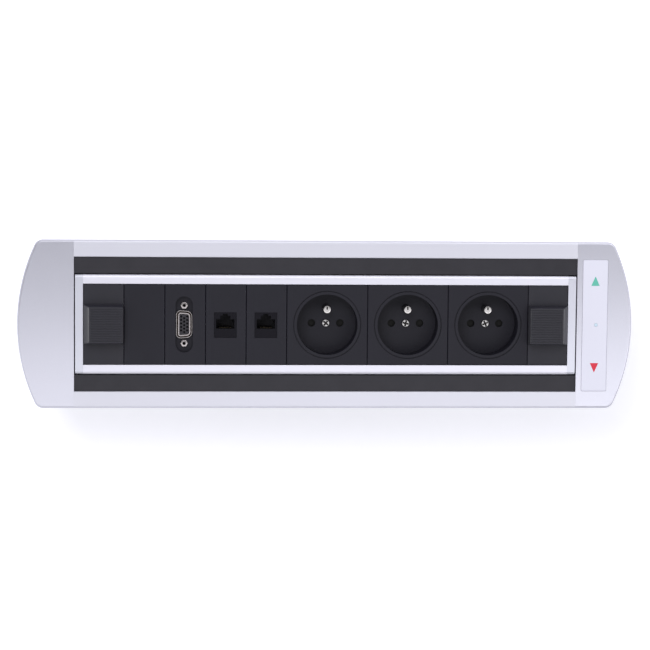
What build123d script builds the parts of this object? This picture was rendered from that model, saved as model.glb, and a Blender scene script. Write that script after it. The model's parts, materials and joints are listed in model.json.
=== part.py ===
from build123d import *
import math
import os

os.makedirs("parts", exist_ok=True)

# Rotating desk socket. X runs along the socket strip, Z points up out of the desk and the
# origin is the centre of the desk cut-out, level with the desk top. Millimetres.

# Frame that rests on the desk
cap_length = 36.9          # end cap, from its seam to the middle of its curved end
frame_width = 110.6
rim_height = 4.0
rim_rounding = 1.6
leg_thickness = 3.0
leg_depth = 24.0
cap_end_r = 124.0          # curved end of the caps, seen from above
cap_corner_r = 6.0
skirt_thickness = 2.5
skirt_inset = 2.2          # cap skirts to the bracket walls

# Modules along the strip: half modules are half_pitch wide, double ones twice that
half_pitch = 26.7
half_count = 12
module_height = 53.4
module_gap = 0.12
face_thickness = 2.0
face_recess = 0.5          # module faces below the rails of the strip
face_chamfer = 0.3
skirt_wall = 2.0
skirt_depth = 5.5
skirt_end = 0.5            # skirts shorter than the face at each end
hook_reach = 1.8
hook_thickness = 1.2
hook_length = 9.0

# Rotor: channel, lid and end plates, turning about an axis along X
rail_width = 6.4           # rails beside the modules
rotor_depth = 50.0
rotor_wall = 2.0
rotor_flange = 2.5
rotor_corner_r = 2.5
rotor_end_thickness = 5.15
rotor_end_gap = 0.75       # end plate to the end cap's seam
port_r = 2.6               # screw ports of the channel
port_sink = 0.4            # how far a port is let into the wall
port_room = 1.4            # screw ports to the module skirts and to the channel's web
lid_ledge = 4.0
lid_thickness = 2.0
lid_clearance = 0.1
lid_rib = 2.0
lid_rib_height = 3.0
lid_hook = 1.5
lid_hook_thickness = 1.0
channel_web = 1.5          # crosswise wall above the lid
journal_rest = 0.4         # journal past the gear
end_screw_length = 12.0

# Gap lips and housing below the desk
turning_gap = 0.7          # rotor corner to the lips
lip_drop = 1.0             # lip below the rim's top
lip_depth = 12.0
sheet = 1.5
trough_fit = 0.15
side_room = 2.12           # turning rotor to the trough's sides
floor_room = 2.02          # turning rotor to the trough's floor
compartment = 24.2         # length of the space inside each end of the trough
bracket_gap = 0.2

# Bearings
journal_r = 8.0
journal_fit = 0.05
bush_wall = 2.5
bush_flange = 2.0
bush_flange_thickness = 1.2
cable_bore_r = 6.0

# Touch panel in the right cap
panel_width = 16.8
panel_height = 87.5
panel_start = 3.7          # from the cap's seam
panel_sink = 0.6
panel_thickness = 1.0
panel_ledge = 1.5
panel_corner_r = 1.2
panel_fit = 0.1
arrow_width = 5.6
arrow_height = 6.3
arrow_offset = 28.6
closing_arrow_offset = 27.1
inlay_depth = 0.4
light_r = 1.1
light_aside = 0.8
light_up = 0.5
window_end = 0.5           # key switches to the ends of the window
board_thickness = 1.6
board_end = 3.5            # board past the window's ends, where its screws sit
board_overlap = 1.1
switch_size = 12.0
switch_height = 2.2
switch_margin = 0.9
key_r = 3.5
key_travel = 0.3
key_fit = 0.08

# Drive in the right end
gear_module = 1.0
gear_teeth = 28
pinion_teeth = 14
gear_width = 6.0
pressure_angle = 20.0
backlash = 0.28
addendum = 0.9
dedendum = 1.25
gear_gap = 0.6             # bush flange to gear
shaft_r = 1.5
shaft_fit = 0.05
shaft_reach = 5.0          # shaft inside the gearbox
shaft_room = 1.0
gearbox_start = 1.4        # gear to gearbox
gearbox_width = 24.0
gearbox_height = 21.0
gearbox_corner_r = 2.0
gearbox_shift = 3.0
gearbox_drop = 1.0
gearbox_screw_inset = 3.5
gearbox_screw_depth = 8.0
motor_room = 0.75          # motor to the gearbox's face and to the outer wall
motor_end_room = 1.6       # motor to the trough's side
motor_rounding = 0.8

# Left end: inlet, grommet and wiring
inlet_width = 27.2
inlet_height = 19.8
inlet_depth = 18.5
inlet_flange_width = 50.0
inlet_flange_height = 24.0
inlet_flange_thickness = 2.5
inlet_corner_r = 3.0
inlet_screw_spacing = 40.0
inlet_y = -12.0
inlet_z = -47.5
cavity_width = 24.0
cavity_height = 16.0
cavity_depth = 16.0
cavity_chamfer = 4.0
pin_width = 4.0
pin_thickness = 2.0
pin_length = 11.0
pin_pitch = 7.0
pin_drop = 4.0
grommet_y = 28.0
grommet_bore_r = 4.5
grommet_wall = 2.0
grommet_lip = 2.0
grommet_rim = 1.5
terminal_width = 22.0
terminal_height = 18.0
terminal_top = 12.0
terminal_inner_y = 16.0
terminal_room = 2.0        # terminal block to the outer wall
terminal_corner_r = 1.0
terminal_pitch = 6.5
terminal_well_r = 1.9
terminal_well_depth = 6.0
loom_room = 0.5            # loom to the rotor's wall and to the socket boxes
loom_lift = 8.0            # loom above the lower screw ports
loom_gap = 0.8             # where the turning loom meets the fixed one
loom_stub = 0.3
loom_turn = 6.5
loom_bend_r = 4.5
loom_run_in = 12.0
loom_cross = 32.0
loom_run_out = 8.0
loom_swing_r = 12.0
lead_r = 1.1
lead_spacing = 3.0
lead_room = 0.5
lead_fan = 6.0
lead_shift = 2.0
lead_entry = 5.0
lead_bend_r = 1.6
motor_lead_y = 24.0
motor_lead_lift = 1.0
motor_lead_inset = 3.0
motor_lead_bend_r = 2.5

# Clamps under the desk
clamp_length = 140.0
clamp_height = 27.0
clamp_foot = 7.6
clamp_corner_r = 2.5
clamp_fit = 0.1
clamp_room = 1.0           # frame rails to the clamps slid up
clamp_up = 5.0
clamp_down = 6.0
stud_spacing = 100.0
stud_drop = 16.0
stud_r = 2.0
stud_length = 8.9
stud_fit = 0.3
nut_r = 5.0
nut_thickness = 5.0
nut_flutes = 14
flute_r = 0.8
flute_out = 0.3

# Screws
screw_r = 1.5
screw_head_r = 2.75
screw_head = 1.6
screw_fit = 0.1
thread_fit = 0.02
screw_end = 2.0            # a screw's tip past what it holds, or the room past its tip
shank_rest = 0.6           # how far a screw comes through the trough wall
hex_size = 0.5             # hexagon socket's radius to the head's
hex_depth = 0.6            # hexagon socket's depth to the head's height
small_screw_r = 1.0
small_screw_head_r = 1.9
small_screw_head = 1.0
small_screw_grip = 2.2
rail_screw_pitch = 80.0
rail_screw_count = 4
rail_screw_z = -18.0
cap_screw_z = -12.0
web_screw_inset = 6.5
web_screw_y = 32.0

# Sockets
ring_margin = 2.1          # well's edge to the middle of the ring groove
ring_width = 0.6
ring_depth = 0.7
well_room = 1.35           # well's outside to the back box
well_depth = 15.0
well_wall = 1.6
well_floor = 2.0
contact_pitch = 19.0
contact_hole_r = 2.5
earth_offset = 10.0
earth_r = 2.4
earth_tip_below_face = 1.0
earth_rounding = 1.1
earth_slot_width = 0.7
earth_slot_height = 2.0
earth_slot_depth = 1.0
socket_screw_r = 1.5
socket_screw_head_r = 2.4
socket_screw_head = 1.6
socket_screw_rounding = 0.6
socket_screw_length = 16.0
recess_length = 2.9
recess_width = 0.7
recess_depth = 1.1
recess_turn = 38.0
box_fit = 0.08             # back box to the module's skirts
box_drop = 0.1             # back box to the face above it
box_lift = 3.4             # back box above the channel's web
box_wall = 1.5
post_wall = 1.5            # around the earth pin and the centre screw
sleeve_post_width = 9.0
sleeve_post_height = 11.0
sleeve_wall = 0.6
sleeve_drop = 1.0
shutter_thickness = 1.6
shutter_gap = 0.3
shutter_bed = 0.2
shutter_travel = 5.0
shutter_half = 14.0
shutter_cover = 0.7        # shut shutter past the contact holes
shutter_end = 3.5          # shutter past its windows
shutter_slot_fit = 0.4
shutter_window_fit = 0.1
sleeve_r = 3.0
sleeve_fit = 0.1

# End modules' raised blocks
block_height = 26.0
block_rise = 8.0
block_margin = 0.35
block_bevel = 3.5          # sloping outer end, seen from above
block_foot = 1.2           # upright part under the slope
block_draft = 1.2          # long sides
block_lean = 0.3           # inner end
block_rounding = 0.6
rib_pitch = 1.6
rib_groove = 0.6
rib_depth = 0.35
rib_margin = 1.6

# Video connector
video_slot_width = 11.3
video_slot_height = 36.9
video_slot_depth = 3.0
video_back = 2.5
video_back_margin = 2.0
video_shell_width = 8.1
video_shell_long = 16.4
video_shell_short = 14.4
video_shell_wall = 0.9
video_shell_corner_r = 2.0
video_shell_rounding = 0.35
video_shell_recess = 0.5   # shell and insulator below the face
video_shell_fit = 0.1
video_ring_gap = 0.8       # shell to the raised edge of its flange
video_ring_wall = 0.5
video_ring_rise = 1.9
video_flange_thickness = 0.6
insulator_recess = 0.9
insulator_fit = 0.05
insulator_end = 3.0
contact_bore_r = 0.55
contact_bore_depth = 4.0
video_rows = 5
video_pitch = 2.29
video_column = 1.98
jackscrew_spacing = 24.99
jackscrew_r = 2.6
jackscrew_bore_r = 1.1
jackscrew_bore_depth = 4.0
jackscrew_shank_r = 1.4
jackscrew_fit = 0.05
jackscrew_hole_fit = 0.2
jackscrew_recess = 0.4
jackscrew_chamfer = 0.5
jackscrew_rest = 1.0
connector_depth = 9.0
connector_aside = 0.65     # left of its module's middle

# Data jacks
jack_width = 14.9
jack_height = 16.8
jack_fit = 0.06
jack_depth = 23.0
jack_recess = 0.3
jack_aside = 0.4           # left of its module's middle
jack_y = -0.35
catch_inset = 2.0
catch_reach = 1.0
catch_height = 2.0
port_width = 12.0
port_height = 6.3
port_low_y = -2.45
latch_width = 6.65
latch_height = 2.3
latch_notch_width = 3.2
latch_notch_height = 1.3
port_depth = 13.0
wire_pitch = 1.02
wire_size = 0.45
wire_count = 8
wire_length = 9.0
wire_tilt = 6.0
wire_start = 2.0
wire_lift = 0.3

# Worked out from the sizes above
strip_length = half_count * half_pitch
rotor_length = strip_length + 2 * rotor_end_thickness
rotor_width = module_height + 2 * rail_width
seam_x = rotor_length / 2 + rotor_end_gap
overall_length = 2 * (seam_x + cap_length)
half_width = frame_width / 2
axis_z = rim_height - rotor_depth / 2
sweep_r = math.hypot(rotor_width / 2 - rotor_corner_r, rotor_depth / 2 - rotor_corner_r) + rotor_corner_r
lip_r = sweep_r + turning_gap
lip_top = rim_height - lip_drop
trough_inner = sweep_r + side_room
trough_outer = trough_inner + sheet
trough_bottom = sweep_r - axis_z + floor_room + sheet
leg_inner = trough_outer + trough_fit
leg_outer = leg_inner + leg_thickness
trough_end = seam_x + compartment
wall_x = seam_x + bracket_gap
bracket_end = trough_end + sheet
floor_z = sheet - trough_bottom
rail_inner = module_height / 2
face_top = rim_height - face_recess
face_under = face_top - face_thickness
channel_inner = rotor_width / 2 - rotor_wall
rotor_bottom = rim_height - rotor_depth
lid_reach = lid_thickness + lid_rib_height + lid_clearance
web_top = rotor_bottom + lid_reach + channel_web
port_y = channel_inner - port_r + port_sink
port_high_z = face_under - skirt_depth - port_r - port_room
port_low_z = web_top + port_room
cap_centre_x = overall_length / 2 - cap_end_r
cap_corner_x = cap_centre_x + math.sqrt(cap_end_r**2 - half_width**2)
panel_x = seam_x + panel_start + panel_width / 2
panel_bed = rim_height - panel_sink
panel_top = panel_bed + panel_thickness
window_width = panel_width - 2 * panel_ledge
window_height = 2 * (arrow_offset + switch_size / 2 + window_end)
board_height = window_height + 2 * board_end
bush_x = wall_x + sheet + bush_flange_thickness
gear_x = bush_x + gear_gap
gear_end = gear_x + gear_width
gear_pitch_r = gear_module * gear_teeth / 2
pinion_pitch_r = gear_module * pinion_teeth / 2
pinion_z = axis_z - gear_pitch_r - pinion_pitch_r
box_half_x = half_pitch - module_gap - skirt_wall - box_fit
box_half_y = module_height / 2 - module_gap - skirt_wall - box_fit
box_bottom = web_top + box_lift
box_floor = box_bottom + box_wall
well_r = min(box_half_x, box_half_y) - box_wall - well_room - well_wall
ring_r = well_r + ring_margin
loom_r = (channel_inner - box_half_y) / 2 - loom_room
loom_y = (channel_inner + box_half_y) / 2
loom_z = port_low_z + loom_lift
well_floor_z = face_top - well_depth
cup_under = well_floor_z - well_floor
shutter_top = cup_under - shutter_gap
shutter_under = shutter_top - shutter_thickness
carrier_top = shutter_under - shutter_bed
clamp_inner = trough_outer + clamp_fit
clamp_outer = clamp_inner + sheet
clamp_top = leg_depth + clamp_up + clamp_room
stud_z = -clamp_top - stud_drop


# Places along the strip, as centres measured in half modules from its left end

def strip_x(half_modules):
    return half_modules * half_pitch - strip_length / 2


end_module_x = strip_x(0.5)
blank_x = strip_x(1.5)
video_x = strip_x(2.5)
connector_x = video_x - connector_aside
data_x = [strip_x(3.5), strip_x(4.5)]
socket_x = [strip_x(6), strip_x(8), strip_x(10)]


# Frame rails

first_rail_screw = -(rail_screw_count - 1) / 2 * rail_screw_pitch
rail_screw_x = [first_rail_screw + number * rail_screw_pitch for number in range(rail_screw_count)]
cap_screw_x = (wall_x + trough_end) / 2
skirt_length = trough_end - wall_x - 2 * skirt_inset

with BuildPart() as frame_rail_top:
    with BuildSketch(Plane.YZ.offset(-seam_x)):
        with BuildLine():
            Polyline(
                (leg_inner, -leg_depth),
                (leg_outer, -leg_depth),
                (leg_outer, 0),
                (half_width, 0),
                (half_width, rim_height),
                (leg_inner, rim_height),
                close=True,
            )
        make_face()
    extrude(amount=2 * seam_x)
    rim_edges = frame_rail_top.edges().filter_by(Axis.X).group_by(Axis.Z)[-1].sort_by(Axis.Y)
    fillet(rim_edges[-1], rim_rounding)
    rim_edges = frame_rail_top.edges().filter_by(Axis.X).group_by(Axis.Z)[-1].sort_by(Axis.Y)
    chamfer(rim_edges[0], face_chamfer)
    with BuildSketch(Plane.XZ.offset(-leg_outer)):
        with Locations(*[(x, rail_screw_z) for x in rail_screw_x]):
            Circle(screw_r + screw_fit)
    extrude(amount=leg_thickness, mode=Mode.SUBTRACT)
frame_rail_top.part.label = "frame_rail_top"
export_step(frame_rail_top.part, "parts/frame_rail_top.step")

with BuildPart() as frame_rail_bottom:
    mirror(frame_rail_top.part, about=Plane.XZ)
frame_rail_bottom.part.label = "frame_rail_bottom"
export_step(frame_rail_bottom.part, "parts/frame_rail_bottom.step")

# Gap lips: their hollow inner faces follow the turning strip

lip_angle_low = math.degrees(math.asin((-lip_depth - axis_z) / lip_r))
lip_angle_high = math.degrees(math.asin((lip_top - axis_z) / lip_r))

with BuildPart() as gap_lip_top:
    with BuildSketch(Plane.YZ.offset(-seam_x)):
        with BuildLine():
            hollow = CenterArc((0, axis_z), lip_r, lip_angle_low, lip_angle_high - lip_angle_low)
            Polyline(hollow @ 1, (leg_inner, lip_top), (leg_inner, -lip_depth), hollow @ 0)
        make_face()
    extrude(amount=2 * seam_x)
gap_lip_top.part.label = "gap_lip_top"
export_step(gap_lip_top.part, "parts/gap_lip_top.step")

with BuildPart() as gap_lip_bottom:
    mirror(gap_lip_top.part, about=Plane.XZ)
gap_lip_bottom.part.label = "gap_lip_bottom"
export_step(gap_lip_bottom.part, "parts/gap_lip_bottom.step")


# End caps

skirt_y = leg_inner + skirt_thickness / 2

with BuildPart() as plain_cap:
    with BuildSketch(Plane.XY) as outline:
        with BuildLine():
            Polyline(
                (cap_corner_x, -half_width),
                (seam_x, -half_width),
                (seam_x, half_width),
                (cap_corner_x, half_width),
            )
            ThreePointArc(
                (cap_corner_x, half_width),
                (overall_length / 2, 0),
                (cap_corner_x, -half_width),
            )
        make_face()
        fillet(outline.vertices().group_by(Axis.X)[-1], cap_corner_r)
    extrude(amount=rim_height)
    top_edges = plain_cap.edges().group_by(Axis.Z)[-1]
    outer_edges = top_edges.filter_by_position(Axis.X, seam_x + face_chamfer, overall_length)
    fillet(outer_edges, rim_rounding)
    with BuildSketch(Plane.XY):
        with Locations((cap_screw_x, skirt_y), (cap_screw_x, -skirt_y)):
            Rectangle(skirt_length, skirt_thickness)
    extrude(amount=-leg_depth)
    with BuildSketch(Plane.XZ.offset(-leg_outer)):
        with Locations((cap_screw_x, cap_screw_z)):
            Circle(screw_r + screw_fit)
    extrude(amount=2 * leg_outer, mode=Mode.SUBTRACT)

with BuildPart() as end_cap_left:
    mirror(plain_cap.part, about=Plane.YZ)
end_cap_left.part.label = "end_cap_left"
export_step(end_cap_left.part, "parts/end_cap_left.step")

board_screw_y = (board_height + window_height) / 4

with BuildPart() as end_cap_right:
    add(plain_cap.part)
    with BuildSketch(Plane.XY.offset(rim_height)):
        with Locations((panel_x, 0)):
            RectangleRounded(panel_width + panel_fit, panel_height + panel_fit, panel_corner_r)
    extrude(amount=-panel_sink, mode=Mode.SUBTRACT)
    with BuildSketch(Plane.XY.offset(panel_bed)):
        with Locations((panel_x, 0)):
            Rectangle(window_width, window_height)
        with Locations((panel_x, board_screw_y), (panel_x, -board_screw_y)):
            Circle(small_screw_r + screw_fit)
    extrude(amount=-rim_height, mode=Mode.SUBTRACT)
end_cap_right.part.label = "end_cap_right"
export_step(end_cap_right.part, "parts/end_cap_right.step")

# Touch panel with its two arrows and its light


def arrow_sketch(arrow_y):
    with Locations((panel_x, arrow_y)):
        Triangle(a=arrow_width, b=arrow_side, c=arrow_side, rotation=0 if arrow_y > 0 else 180)


arrow_side = math.hypot(arrow_width / 2, arrow_height)
light_spot = (panel_x + light_aside, light_up)

with BuildPart() as touch_overlay:
    with BuildSketch(Plane.XY.offset(panel_bed)):
        with Locations((panel_x, 0)):
            RectangleRounded(panel_width - panel_fit, panel_height - panel_fit, panel_corner_r)
    extrude(amount=panel_thickness)
    fillet(touch_overlay.edges().group_by(Axis.Z)[-1], face_chamfer)
    with BuildSketch(Plane.XY.offset(panel_top)):
        arrow_sketch(arrow_offset)
        arrow_sketch(-closing_arrow_offset)
    extrude(amount=-inlay_depth, mode=Mode.SUBTRACT)
    with BuildSketch(Plane.XY.offset(panel_top)):
        with Locations(light_spot):
            Circle(light_r + panel_fit)
    extrude(amount=-panel_thickness, mode=Mode.SUBTRACT)
touch_overlay.part.label = "touch_overlay"
export_step(touch_overlay.part, "parts/touch_overlay.step")

with BuildPart() as arrow_open:
    with BuildSketch(Plane.XY.offset(panel_top - inlay_depth)):
        arrow_sketch(arrow_offset)
    extrude(amount=inlay_depth)
arrow_open.part.label = "arrow_open"
export_step(arrow_open.part, "parts/arrow_open.step")

with BuildPart() as arrow_close:
    with BuildSketch(Plane.XY.offset(panel_top - inlay_depth)):
        arrow_sketch(-closing_arrow_offset)
    extrude(amount=inlay_depth)
arrow_close.part.label = "arrow_close"
export_step(arrow_close.part, "parts/arrow_close.step")

with BuildPart() as status_light:
    with BuildSketch(Plane.XY):
        with Locations(light_spot):
            Circle(light_r)
    extrude(amount=panel_top)
status_light.part.label = "status_light"
export_step(status_light.part, "parts/status_light.step")

# Board under the panel, with two square key switches

with BuildPart() as touch_circuit_board:
    with BuildSketch(Plane.XY.offset(-board_thickness)):
        with Locations((panel_x, 0)):
            Rectangle(window_width + 2 * board_overlap, board_height)
        with Locations((panel_x, board_screw_y), (panel_x, -board_screw_y)):
            Circle(small_screw_r + screw_fit, mode=Mode.SUBTRACT)
    extrude(amount=board_thickness)
    with BuildSketch(Plane.XY):
        with Locations((panel_x, arrow_offset), (panel_x, -arrow_offset)):
            Rectangle(switch_size, switch_size)
    extrude(amount=switch_height)
    with BuildSketch(Plane.XY.offset(switch_height)):
        with Locations((panel_x, arrow_offset), (panel_x, -arrow_offset)):
            Circle(key_r + key_fit)
    extrude(amount=switch_margin - switch_height, mode=Mode.SUBTRACT)
touch_circuit_board.part.label = "touch_circuit_board"
export_step(touch_circuit_board.part, "parts/touch_circuit_board.step")

key_base = switch_margin + key_travel + key_fit
key_top = panel_bed - key_fit

with BuildPart() as key_open:
    with BuildSketch(Plane.XY.offset(key_base)):
        with Locations((panel_x, arrow_offset)):
            Circle(key_r)
    extrude(amount=key_top - key_base)
key_open.part.label = "key_open"
export_step(key_open.part, "parts/key_open.step")

with BuildPart() as key_close:
    with BuildSketch(Plane.XY.offset(key_base)):
        with Locations((panel_x, -arrow_offset)):
            Circle(key_r)
    extrude(amount=key_top - key_base)
key_close.part.label = "key_close"
export_step(key_close.part, "parts/key_close.step")

# Housing trough: bent sheet, with two threaded studs on each long side

web_screw_x = wall_x + web_screw_inset

with BuildPart() as housing_trough:
    with BuildSketch(Plane.YZ.offset(-trough_end)):
        with Locations((0, -trough_bottom / 2)):
            Rectangle(2 * trough_outer, trough_bottom)
        with Locations((0, floor_z / 2)):
            Rectangle(2 * trough_inner, -floor_z, mode=Mode.SUBTRACT)
    extrude(amount=2 * trough_end)
    fillet(housing_trough.edges().filter_by(Axis.X).group_by(Axis.Z)[0], sheet)
    # the walls are lower between the caps, under the gap lips
    with BuildSketch(Plane.XY):
        Rectangle(2 * wall_x, 2 * trough_outer)
    extrude(amount=-lip_depth, mode=Mode.SUBTRACT)
    with BuildSketch(Plane.XZ.offset(-trough_outer)):
        with Locations(*[(x, rail_screw_z) for x in rail_screw_x]):
            Circle(screw_r)
        with Locations((cap_screw_x, cap_screw_z), (-cap_screw_x, cap_screw_z)):
            Circle(screw_r)
    extrude(amount=2 * trough_outer, mode=Mode.SUBTRACT)
    with BuildSketch(Plane.XY.offset(floor_z)):
        with GridLocations(2 * web_screw_x, 2 * web_screw_y, 2, 2):
            Circle(screw_r)
    extrude(amount=-sheet, mode=Mode.SUBTRACT)
    for stud_x in (-stud_spacing / 2, stud_spacing / 2):
        with BuildSketch(Plane.XZ.offset(-trough_outer)):
            with Locations((stud_x, stud_z)):
                Circle(stud_r)
        extrude(amount=-stud_length)
        with BuildSketch(Plane.XZ.offset(trough_outer)):
            with Locations((stud_x, stud_z)):
                Circle(stud_r)
        extrude(amount=stud_length)
housing_trough.part.label = "housing_trough"
export_step(housing_trough.part, "parts/housing_trough.step")


# End brackets: bearing wall, web on the trough floor and outer wall from one bent sheet

motor_lead_z = floor_z + sheet + lead_r + motor_lead_lift
gearbox_y = gearbox_shift
gearbox_z = pinion_z - gearbox_drop
gearbox_screw_y = gearbox_width / 2 - gearbox_screw_inset
gearbox_screw_z = gearbox_height / 2 - gearbox_screw_inset
gearbox_screws = [
    (gearbox_y - gearbox_screw_y, gearbox_z - gearbox_screw_z),
    (gearbox_y + gearbox_screw_y, gearbox_z + gearbox_screw_z),
]

side_fit = trough_inner - bracket_gap

with BuildPart() as bracket_blank:
    with BuildSketch(Plane.XZ.offset(-side_fit)):
        with BuildLine():
            Polyline(
                (wall_x, -bracket_gap),
                (wall_x, floor_z),
                (bracket_end, floor_z),
                (bracket_end, -bracket_gap),
                (trough_end, -bracket_gap),
                (trough_end, floor_z + sheet),
                (wall_x + sheet, floor_z + sheet),
                (wall_x + sheet, -bracket_gap),
                close=True,
            )
        make_face()
    extrude(amount=2 * side_fit)
    # the outer wall covers the end of the trough
    with BuildSketch(Plane.YZ.offset(trough_end)):
        with Locations((0, -(trough_bottom + bracket_gap) / 2)):
            Rectangle(2 * trough_outer, trough_bottom - bracket_gap)
    extrude(amount=sheet)
    with BuildSketch(Plane.YZ.offset(wall_x)):
        with Locations((0, axis_z)):
            Circle(journal_r + journal_fit + bush_wall)
        with Locations((motor_lead_y, motor_lead_z)):
            Circle(lead_r + lead_room)
    extrude(amount=sheet, mode=Mode.SUBTRACT)
    with BuildSketch(Plane.XY.offset(floor_z)):
        with Locations((web_screw_x, web_screw_y), (web_screw_x, -web_screw_y)):
            Circle(screw_r + screw_fit)
    extrude(amount=sheet, mode=Mode.SUBTRACT)

with BuildPart() as end_bracket_right:
    add(bracket_blank.part)
    with BuildSketch(Plane.YZ.offset(trough_end)):
        with Locations(*gearbox_screws):
            Circle(screw_r + screw_fit)
    extrude(amount=sheet, mode=Mode.SUBTRACT)
    with BuildSketch(Plane.YZ.offset(wall_x)):
        with Locations((0, pinion_z)):
            Circle(shaft_r + shaft_fit)
    extrude(amount=sheet, mode=Mode.SUBTRACT)
end_bracket_right.part.label = "end_bracket_right"
export_step(end_bracket_right.part, "parts/end_bracket_right.step")

inlet_screws = [
    (inlet_y - inlet_screw_spacing / 2, inlet_z),
    (inlet_y + inlet_screw_spacing / 2, inlet_z),
]

with BuildPart() as end_bracket_left:
    mirror(bracket_blank.part, about=Plane.YZ)
    with BuildSketch(Plane.YZ.offset(-bracket_end)):
        with Locations((inlet_y, inlet_z)):
            Rectangle(inlet_width + 2 * bracket_gap, inlet_height + 2 * bracket_gap)
        with Locations(*inlet_screws):
            Circle(screw_r + screw_fit)
        with Locations((grommet_y, inlet_z)):
            Circle(grommet_bore_r + grommet_wall)
    extrude(amount=sheet, mode=Mode.SUBTRACT)
end_bracket_left.part.label = "end_bracket_left"
export_step(end_bracket_left.part, "parts/end_bracket_left.step")

# Bearing bushes, one in each bearing wall

with BuildPart() as bearing_bushes:
    for side in (-1, 1):
        with BuildSketch(Plane.YZ.offset(side * wall_x)):
            with Locations((0, axis_z)):
                Circle(journal_r + journal_fit + bush_wall)
        extrude(amount=side * sheet)
        with BuildSketch(Plane.YZ.offset(side * (wall_x + sheet))):
            with Locations((0, axis_z)):
                Circle(journal_r + journal_fit + bush_wall + bush_flange)
        extrude(amount=side * bush_flange_thickness)
        with BuildSketch(Plane.YZ.offset(side * wall_x)):
            with Locations((0, axis_z)):
                Circle(journal_r + journal_fit)
        extrude(amount=side * (sheet + bush_flange_thickness), mode=Mode.SUBTRACT)
bearing_bushes.part.label = "bearing_bushes"
export_step(bearing_bushes.part, "parts/bearing_bushes.step")

# Gears: involute flanks as arcs through three points of the involute


def involute_point(base_r, r, turn):
    t = math.sqrt(max((r / base_r) ** 2 - 1, 0))
    angle = turn - (t - math.atan(t))
    return (r * math.cos(angle), r * math.sin(angle))


def gear_profile(teeth, first_angle):
    pitch_r = gear_module * teeth / 2
    base_r = pitch_r * math.cos(math.radians(pressure_angle))
    tip_r = pitch_r + addendum * gear_module
    root_r = pitch_r - dedendum * gear_module
    foot_r = max(root_r, base_r)
    t = math.tan(math.radians(pressure_angle))
    half_angle = math.pi / (2 * teeth) - backlash / (2 * pitch_r)
    turn = half_angle + t - math.atan(t)
    foot_x, foot_y = involute_point(base_r, foot_r, turn)
    middle_x, middle_y = involute_point(base_r, (foot_r + tip_r) / 2, turn)
    tip_x, tip_y = involute_point(base_r, tip_r, turn)
    inner_x = root_r * 0.9
    with BuildSketch() as tooth:
        with BuildLine():
            ThreePointArc((foot_x, foot_y), (middle_x, middle_y), (tip_x, tip_y))
            Line((tip_x, tip_y), (tip_x, -tip_y))
            ThreePointArc((tip_x, -tip_y), (middle_x, -middle_y), (foot_x, -foot_y))
            Polyline((foot_x, -foot_y), (inner_x, -foot_y), (inner_x, foot_y), (foot_x, foot_y))
        make_face()
    with BuildSketch() as profile:
        Circle(root_r)
        with PolarLocations(0, teeth, start_angle=first_angle):
            add(tooth.sketch)
    return profile.sketch


gearbox_x = gear_end + gearbox_start
gear_outline = gear_profile(gear_teeth, -90)
pinion_outline = gear_profile(pinion_teeth, 90 + 180 / pinion_teeth)

with BuildPart() as rotor_gear:
    gear_plane = Plane(origin=(gear_x, 0, axis_z), x_dir=(0, 1, 0), z_dir=(1, 0, 0))
    with BuildSketch(gear_plane):
        add(gear_outline)
        Circle(journal_r, mode=Mode.SUBTRACT)
    extrude(amount=gear_width)
rotor_gear.part.label = "rotor_gear"
export_step(rotor_gear.part, "parts/rotor_gear.step")

with BuildPart() as drive_pinion:
    pinion_plane = Plane(origin=(gear_x, 0, pinion_z), x_dir=(0, 1, 0), z_dir=(1, 0, 0))
    with BuildSketch(pinion_plane):
        add(pinion_outline)
    extrude(amount=gear_width)
    with BuildSketch(Plane.YZ.offset(wall_x + bracket_gap)):
        with Locations((0, pinion_z)):
            Circle(shaft_r)
    extrude(amount=gearbox_x + shaft_reach - wall_x - bracket_gap)
drive_pinion.part.label = "drive_pinion"
export_step(drive_pinion.part, "parts/drive_pinion.step")

# Geared motor on the outer wall

with BuildPart() as gearbox_housing:
    with BuildSketch(Plane.YZ.offset(gearbox_x)):
        with Locations((gearbox_y, gearbox_z)):
            RectangleRounded(gearbox_width, gearbox_height, gearbox_corner_r)
    extrude(amount=trough_end - gearbox_x)
    with BuildSketch(Plane.YZ.offset(gearbox_x)):
        with Locations((0, pinion_z)):
            Circle(shaft_r + shaft_fit)
    extrude(amount=shaft_reach + shaft_room, mode=Mode.SUBTRACT)
    with BuildSketch(Plane.YZ.offset(trough_end)):
        with Locations(*gearbox_screws):
            Circle(screw_r)
    extrude(amount=-gearbox_screw_depth, mode=Mode.SUBTRACT)
gearbox_housing.part.label = "gearbox_housing"
export_step(gearbox_housing.part, "parts/gearbox_housing.step")

motor_x = (gearbox_x + trough_end) / 2
motor_r = (trough_end - gearbox_x) / 2 - motor_room
motor_start = gearbox_y + gearbox_width / 2
motor_length = trough_inner - motor_end_room - motor_start

with BuildPart() as motor_can:
    with BuildSketch(Plane.XZ.offset(-motor_start)):
        with Locations((motor_x, gearbox_z)):
            Circle(motor_r)
    extrude(amount=-motor_length)
    fillet(motor_can.edges().group_by(Axis.Y)[-1], motor_rounding)
motor_can.part.label = "motor_can"
export_step(motor_can.part, "parts/motor_can.step")

# Appliance inlet in the outer wall of the left bracket

cavity_floor_x = -bracket_end - inlet_flange_thickness + cavity_depth

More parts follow.
